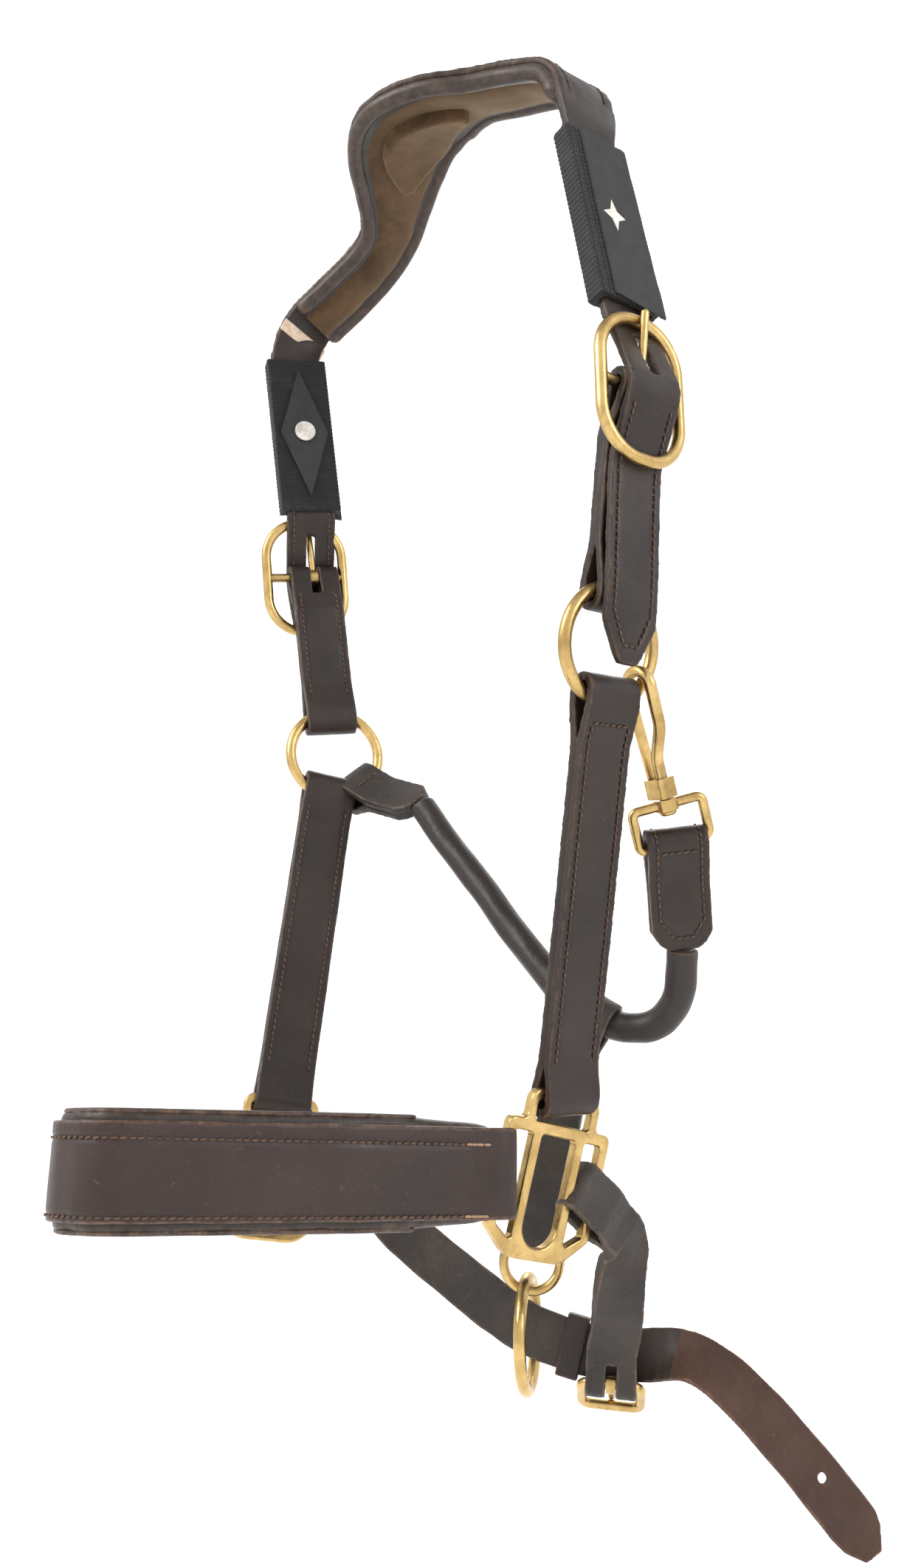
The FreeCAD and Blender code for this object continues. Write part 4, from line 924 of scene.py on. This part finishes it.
nose_padding = softened("noseband_padding")
uneven(nose_padding, 35 * MM, 0.3 * MM)
dressed("noseband_padding", nose_padding, ROLLED)
nose_lining = softened("noseband_lining")
dressed("noseband_lining", nose_lining, ROLLED)

LIP_RADIUS = 3.6 * MM
LIP_OVER = 0.4 * MM
LIP_TAPER = 16
LIP_SINK = 2.8 * MM
LIP_EASING = 6
LIP_SKIP = 8
EDGE_STEP = 0.25 * MM
EDGE_REACH = 7.0 * MM
LIP_INSET = 6.8 * MM
LIP_FIRST_DEG = 32
LIP_LAST_DEG = -206


def edge_rise(place, normal, sign):
    """How far the leather's own edge stands above or below a point of its outside."""
    rise = 0.0
    while rise < EDGE_REACH:
        start = place + normal * 0.004 + BAND_UP * (sign * (rise + EDGE_STEP))
        if nose_tree.ray_cast(start, -normal, 0.012)[0] is None:
            return rise
        rise += EDGE_STEP
    return rise


def nose_lip(sign):
    """The rolled edge of the padding, standing proud of the outer leather."""
    path = nose_seam(sign * NOSE_STITCH_RISE, LIP_FIRST_DEG, LIP_LAST_DEG)
    path = path[::LIP_SKIP]
    points = []
    for i, (place, normal) in enumerate(path):
        inward = (BAND_UP * normal.dot(BAND_UP) - normal).normalized()
        sunk = max(1 - min(i, len(path) - 1 - i) / LIP_TAPER, 0) * LIP_SINK
        rise = edge_rise(place, -inward, sign) + LIP_OVER - sunk
        points.append(place + inward * LIP_INSET + BAND_UP * (sign * rise))
    for _ in range(LIP_EASING):
        eased = [(a + b * 2 + c) / 4 for a, b, c in zip(points, points[1:], points[2:])]
        points = [points[0]] + eased + [points[-1]]
    return points


for sign, label in ((1, "top"), (-1, "bottom")):
    lip = tube("noseband_lip_" + label, nose_lip(sign), LIP_RADIUS, ROLLED)
    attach(lip, "root")


# ---- throat, connecting strap and chin -------------------------------------------

roll_mesh = softened("throat_roll")
uneven(roll_mesh, 28 * MM, 0.3 * MM)
dressed("throat_roll", roll_mesh, ROLLED)
dressed("throat_core", softened("throat_core"), CORE)

connecting = softened("connecting_strap")
uneven(connecting, 20 * MM, 0.2 * MM)
dressed("connecting_strap", connecting, GREY)

SMOOTH_FROM = 0.024
TAIL_FROM = 0.062
chin_mesh = softened("chin_strap")
uneven(chin_mesh, 30 * MM, 0.3 * MM)
chin = dressed("chin_strap", chin_mesh, GREY)
chin.data.materials.append(BROWN)
chin.data.materials.append(TAIL)
for face in chin.data.polygons:
    if face.center.x > TAIL_FROM:
        face.material_index = 2
    elif face.center.x > SMOOTH_FROM:
        face.material_index = 1

chape = softened("chin_chape")
uneven(chape, 20 * MM, 0.3 * MM)
dressed("chin_chape", chape, GREY)
dressed("chin_keeper", softened("chin_keeper"), BROWN)


CHIN_END = Vector((-61.5, 21.8, -474.8)) * MM
SQUARE_BAR = Vector((-73.15, 11.55, -478.05)) * MM
SQUARE_BAR_WAY = Vector((0.09, -0.19, -0.98)).normalized()
CHIN_WIDE = 19.0 * MM
CHIN_THICK = 2.8 * MM
BAR_TURN = 4.8 * MM


def chin_loop():
    """The chin strap's far end, folded round the back bar of the off square."""
    toward = SQUARE_BAR - CHIN_END
    toward = toward - SQUARE_BAR_WAY * toward.dot(SQUARE_BAR_WAY)
    reach = toward.length
    toward = toward.normalized()
    aside = SQUARE_BAR_WAY.cross(toward)
    path = [(-3.0 * MM, 0.0), (3.0 * MM, 0.6 * MM), (9.0 * MM, 3.4 * MM), (reach, BAR_TURN)]
    for turn in (45, 90, 135, 180):
        angle = math.radians(turn)
        path.append((reach + BAR_TURN * math.sin(angle), BAR_TURN * math.cos(angle)))
    path += [(8.0 * MM, -4.2 * MM), (0.0, -3.3 * MM), (-14.0 * MM, -3.3 * MM)]
    places = [CHIN_END + toward * a + aside * b for a, b in smooth(path, 6)]
    vertices, faces = [], []
    for i, place in enumerate(places):
        along = (places[min(i + 1, len(places) - 1)] - places[max(i - 1, 0)]).normalized()
        lift = along.cross(SQUARE_BAR_WAY).normalized()
        for u, v in ((-1, -1), (1, -1), (1, 1), (-1, 1)):
            vertices.append(place + SQUARE_BAR_WAY * (u * CHIN_WIDE / 2) + lift * (v * CHIN_THICK / 2))
    for row in range(len(places) - 1):
        for i in range(4):
            j = (i + 1) % 4
            faces.append((row * 4 + i, row * 4 + j, (row + 1) * 4 + j, (row + 1) * 4 + i))
    faces.append((3, 2, 1, 0))
    faces.append(tuple(range(len(vertices) - 4, len(vertices))))
    rounded("chin_loop", vertices, faces, GREY)


chin_loop()


# ---- camera, light and floor -----------------------------------------------------

def aim(obj, right, up, back, place):
    obj.matrix_world = Matrix.Translation(place) @ Matrix((right, up, back)).transposed().to_4x4()


camera = bpy.data.objects.new("camera", bpy.data.cameras.new("camera"))
bpy.context.scene.collection.objects.link(camera)
bpy.context.scene.camera = camera
camera.data.sensor_fit = "VERTICAL"
camera.data.sensor_height = 36.0
camera.data.lens = 30.51
camera.data.clip_start = 0.01
aim(camera, Vector((0.68675, 0.72689, 0.0)), Vector((0.15485, -0.14630, 0.97705)),
    Vector((0.71021, -0.67099, -0.21303)), Vector((0.41867, -0.36779, -0.43238)))


def area_light(name, place, target, size, power, colour=(1.0, 1.0, 1.0)):
    light = bpy.data.lights.new(name, "AREA")
    light.shape = "DISK"
    light.size = size
    light.energy = power
    light.color = colour
    obj = bpy.data.objects.new(name, light)
    bpy.context.scene.collection.objects.link(obj)
    obj.location = place
    obj.rotation_euler = (Vector(target) - Vector(place)).to_track_quat("-Z", "Y").to_euler()


MIDDLE = (0.0, 0.0, -0.3)
area_light("window", (-0.5, -1.6, 0.9), MIDDLE, 1.1, 26.0, (1.0, 0.98, 0.95))
area_light("fill", (1.7, 0.3, 0.3), MIDDLE, 0.8, 8.0, (0.96, 0.98, 1.0))
area_light("back", (-0.9, 1.3, 0.9), MIDDLE, 1.0, 10.0)

FLOOR_Z = cad_box[0].z - 0.12
SWEEP_RADIUS = 1.2
SWEEP_REACH = 4.4
SWEEP_HEIGHT = 10.0
BACKDROP_GLOW = 0.3


def backdrop():
    """A floor that rises all round in one soft curve."""
    rings = [(0.0, 0.0), (SWEEP_REACH, 0.0)]
    for i in range(1, 13):
        angle = math.radians(90 * i / 12)
        rings.append((SWEEP_REACH + SWEEP_RADIUS * math.sin(angle), SWEEP_RADIUS * (1 - math.cos(angle))))
    rings.append((SWEEP_REACH + SWEEP_RADIUS, SWEEP_HEIGHT))
    sides = 96
    vertices, faces = [], []
    for reach, rise in rings:
        for j in range(sides):
            angle = 2 * math.pi * j / sides
            out = max(reach, 0.001)
            vertices.append((out * math.cos(angle), out * math.sin(angle), FLOOR_Z + rise))
    for i in range(len(rings) - 1):
        for j in range(sides):
            k = (j + 1) % sides
            faces.append((i * sides + j, i * sides + k, (i + 1) * sides + k, (i + 1) * sides + j))
    faces.append(tuple(range(sides)))
    mesh = bpy.data.meshes.new("backdrop")
    mesh.from_pydata(vertices, [], faces)
    paint = Shader("backdrop")
    colour = paint.ramp(paint.noise(0.8), [(0.3, (0.86, 0.86, 0.86)), (0.7, (0.88, 0.88, 0.88))])
    paint.finish(colour, paint.scale(paint.noise(0.5), 0.85, 0.95))
    paint.set(Emission_Color=(1.0, 1.0, 1.0, 1.0), Emission_Strength=BACKDROP_GLOW)
    obj = link("backdrop", mesh, paint.material)


backdrop()
bpy.context.scene.view_settings.view_transform = "Standard"
world = bpy.data.worlds.new("studio")
bpy.context.scene.world = world
world.use_nodes = True
world.node_tree.nodes["Background"].inputs["Color"].default_value = (1.0, 1.0, 1.0, 1.0)
world.node_tree.nodes["Background"].inputs["Strength"].default_value = 0.6
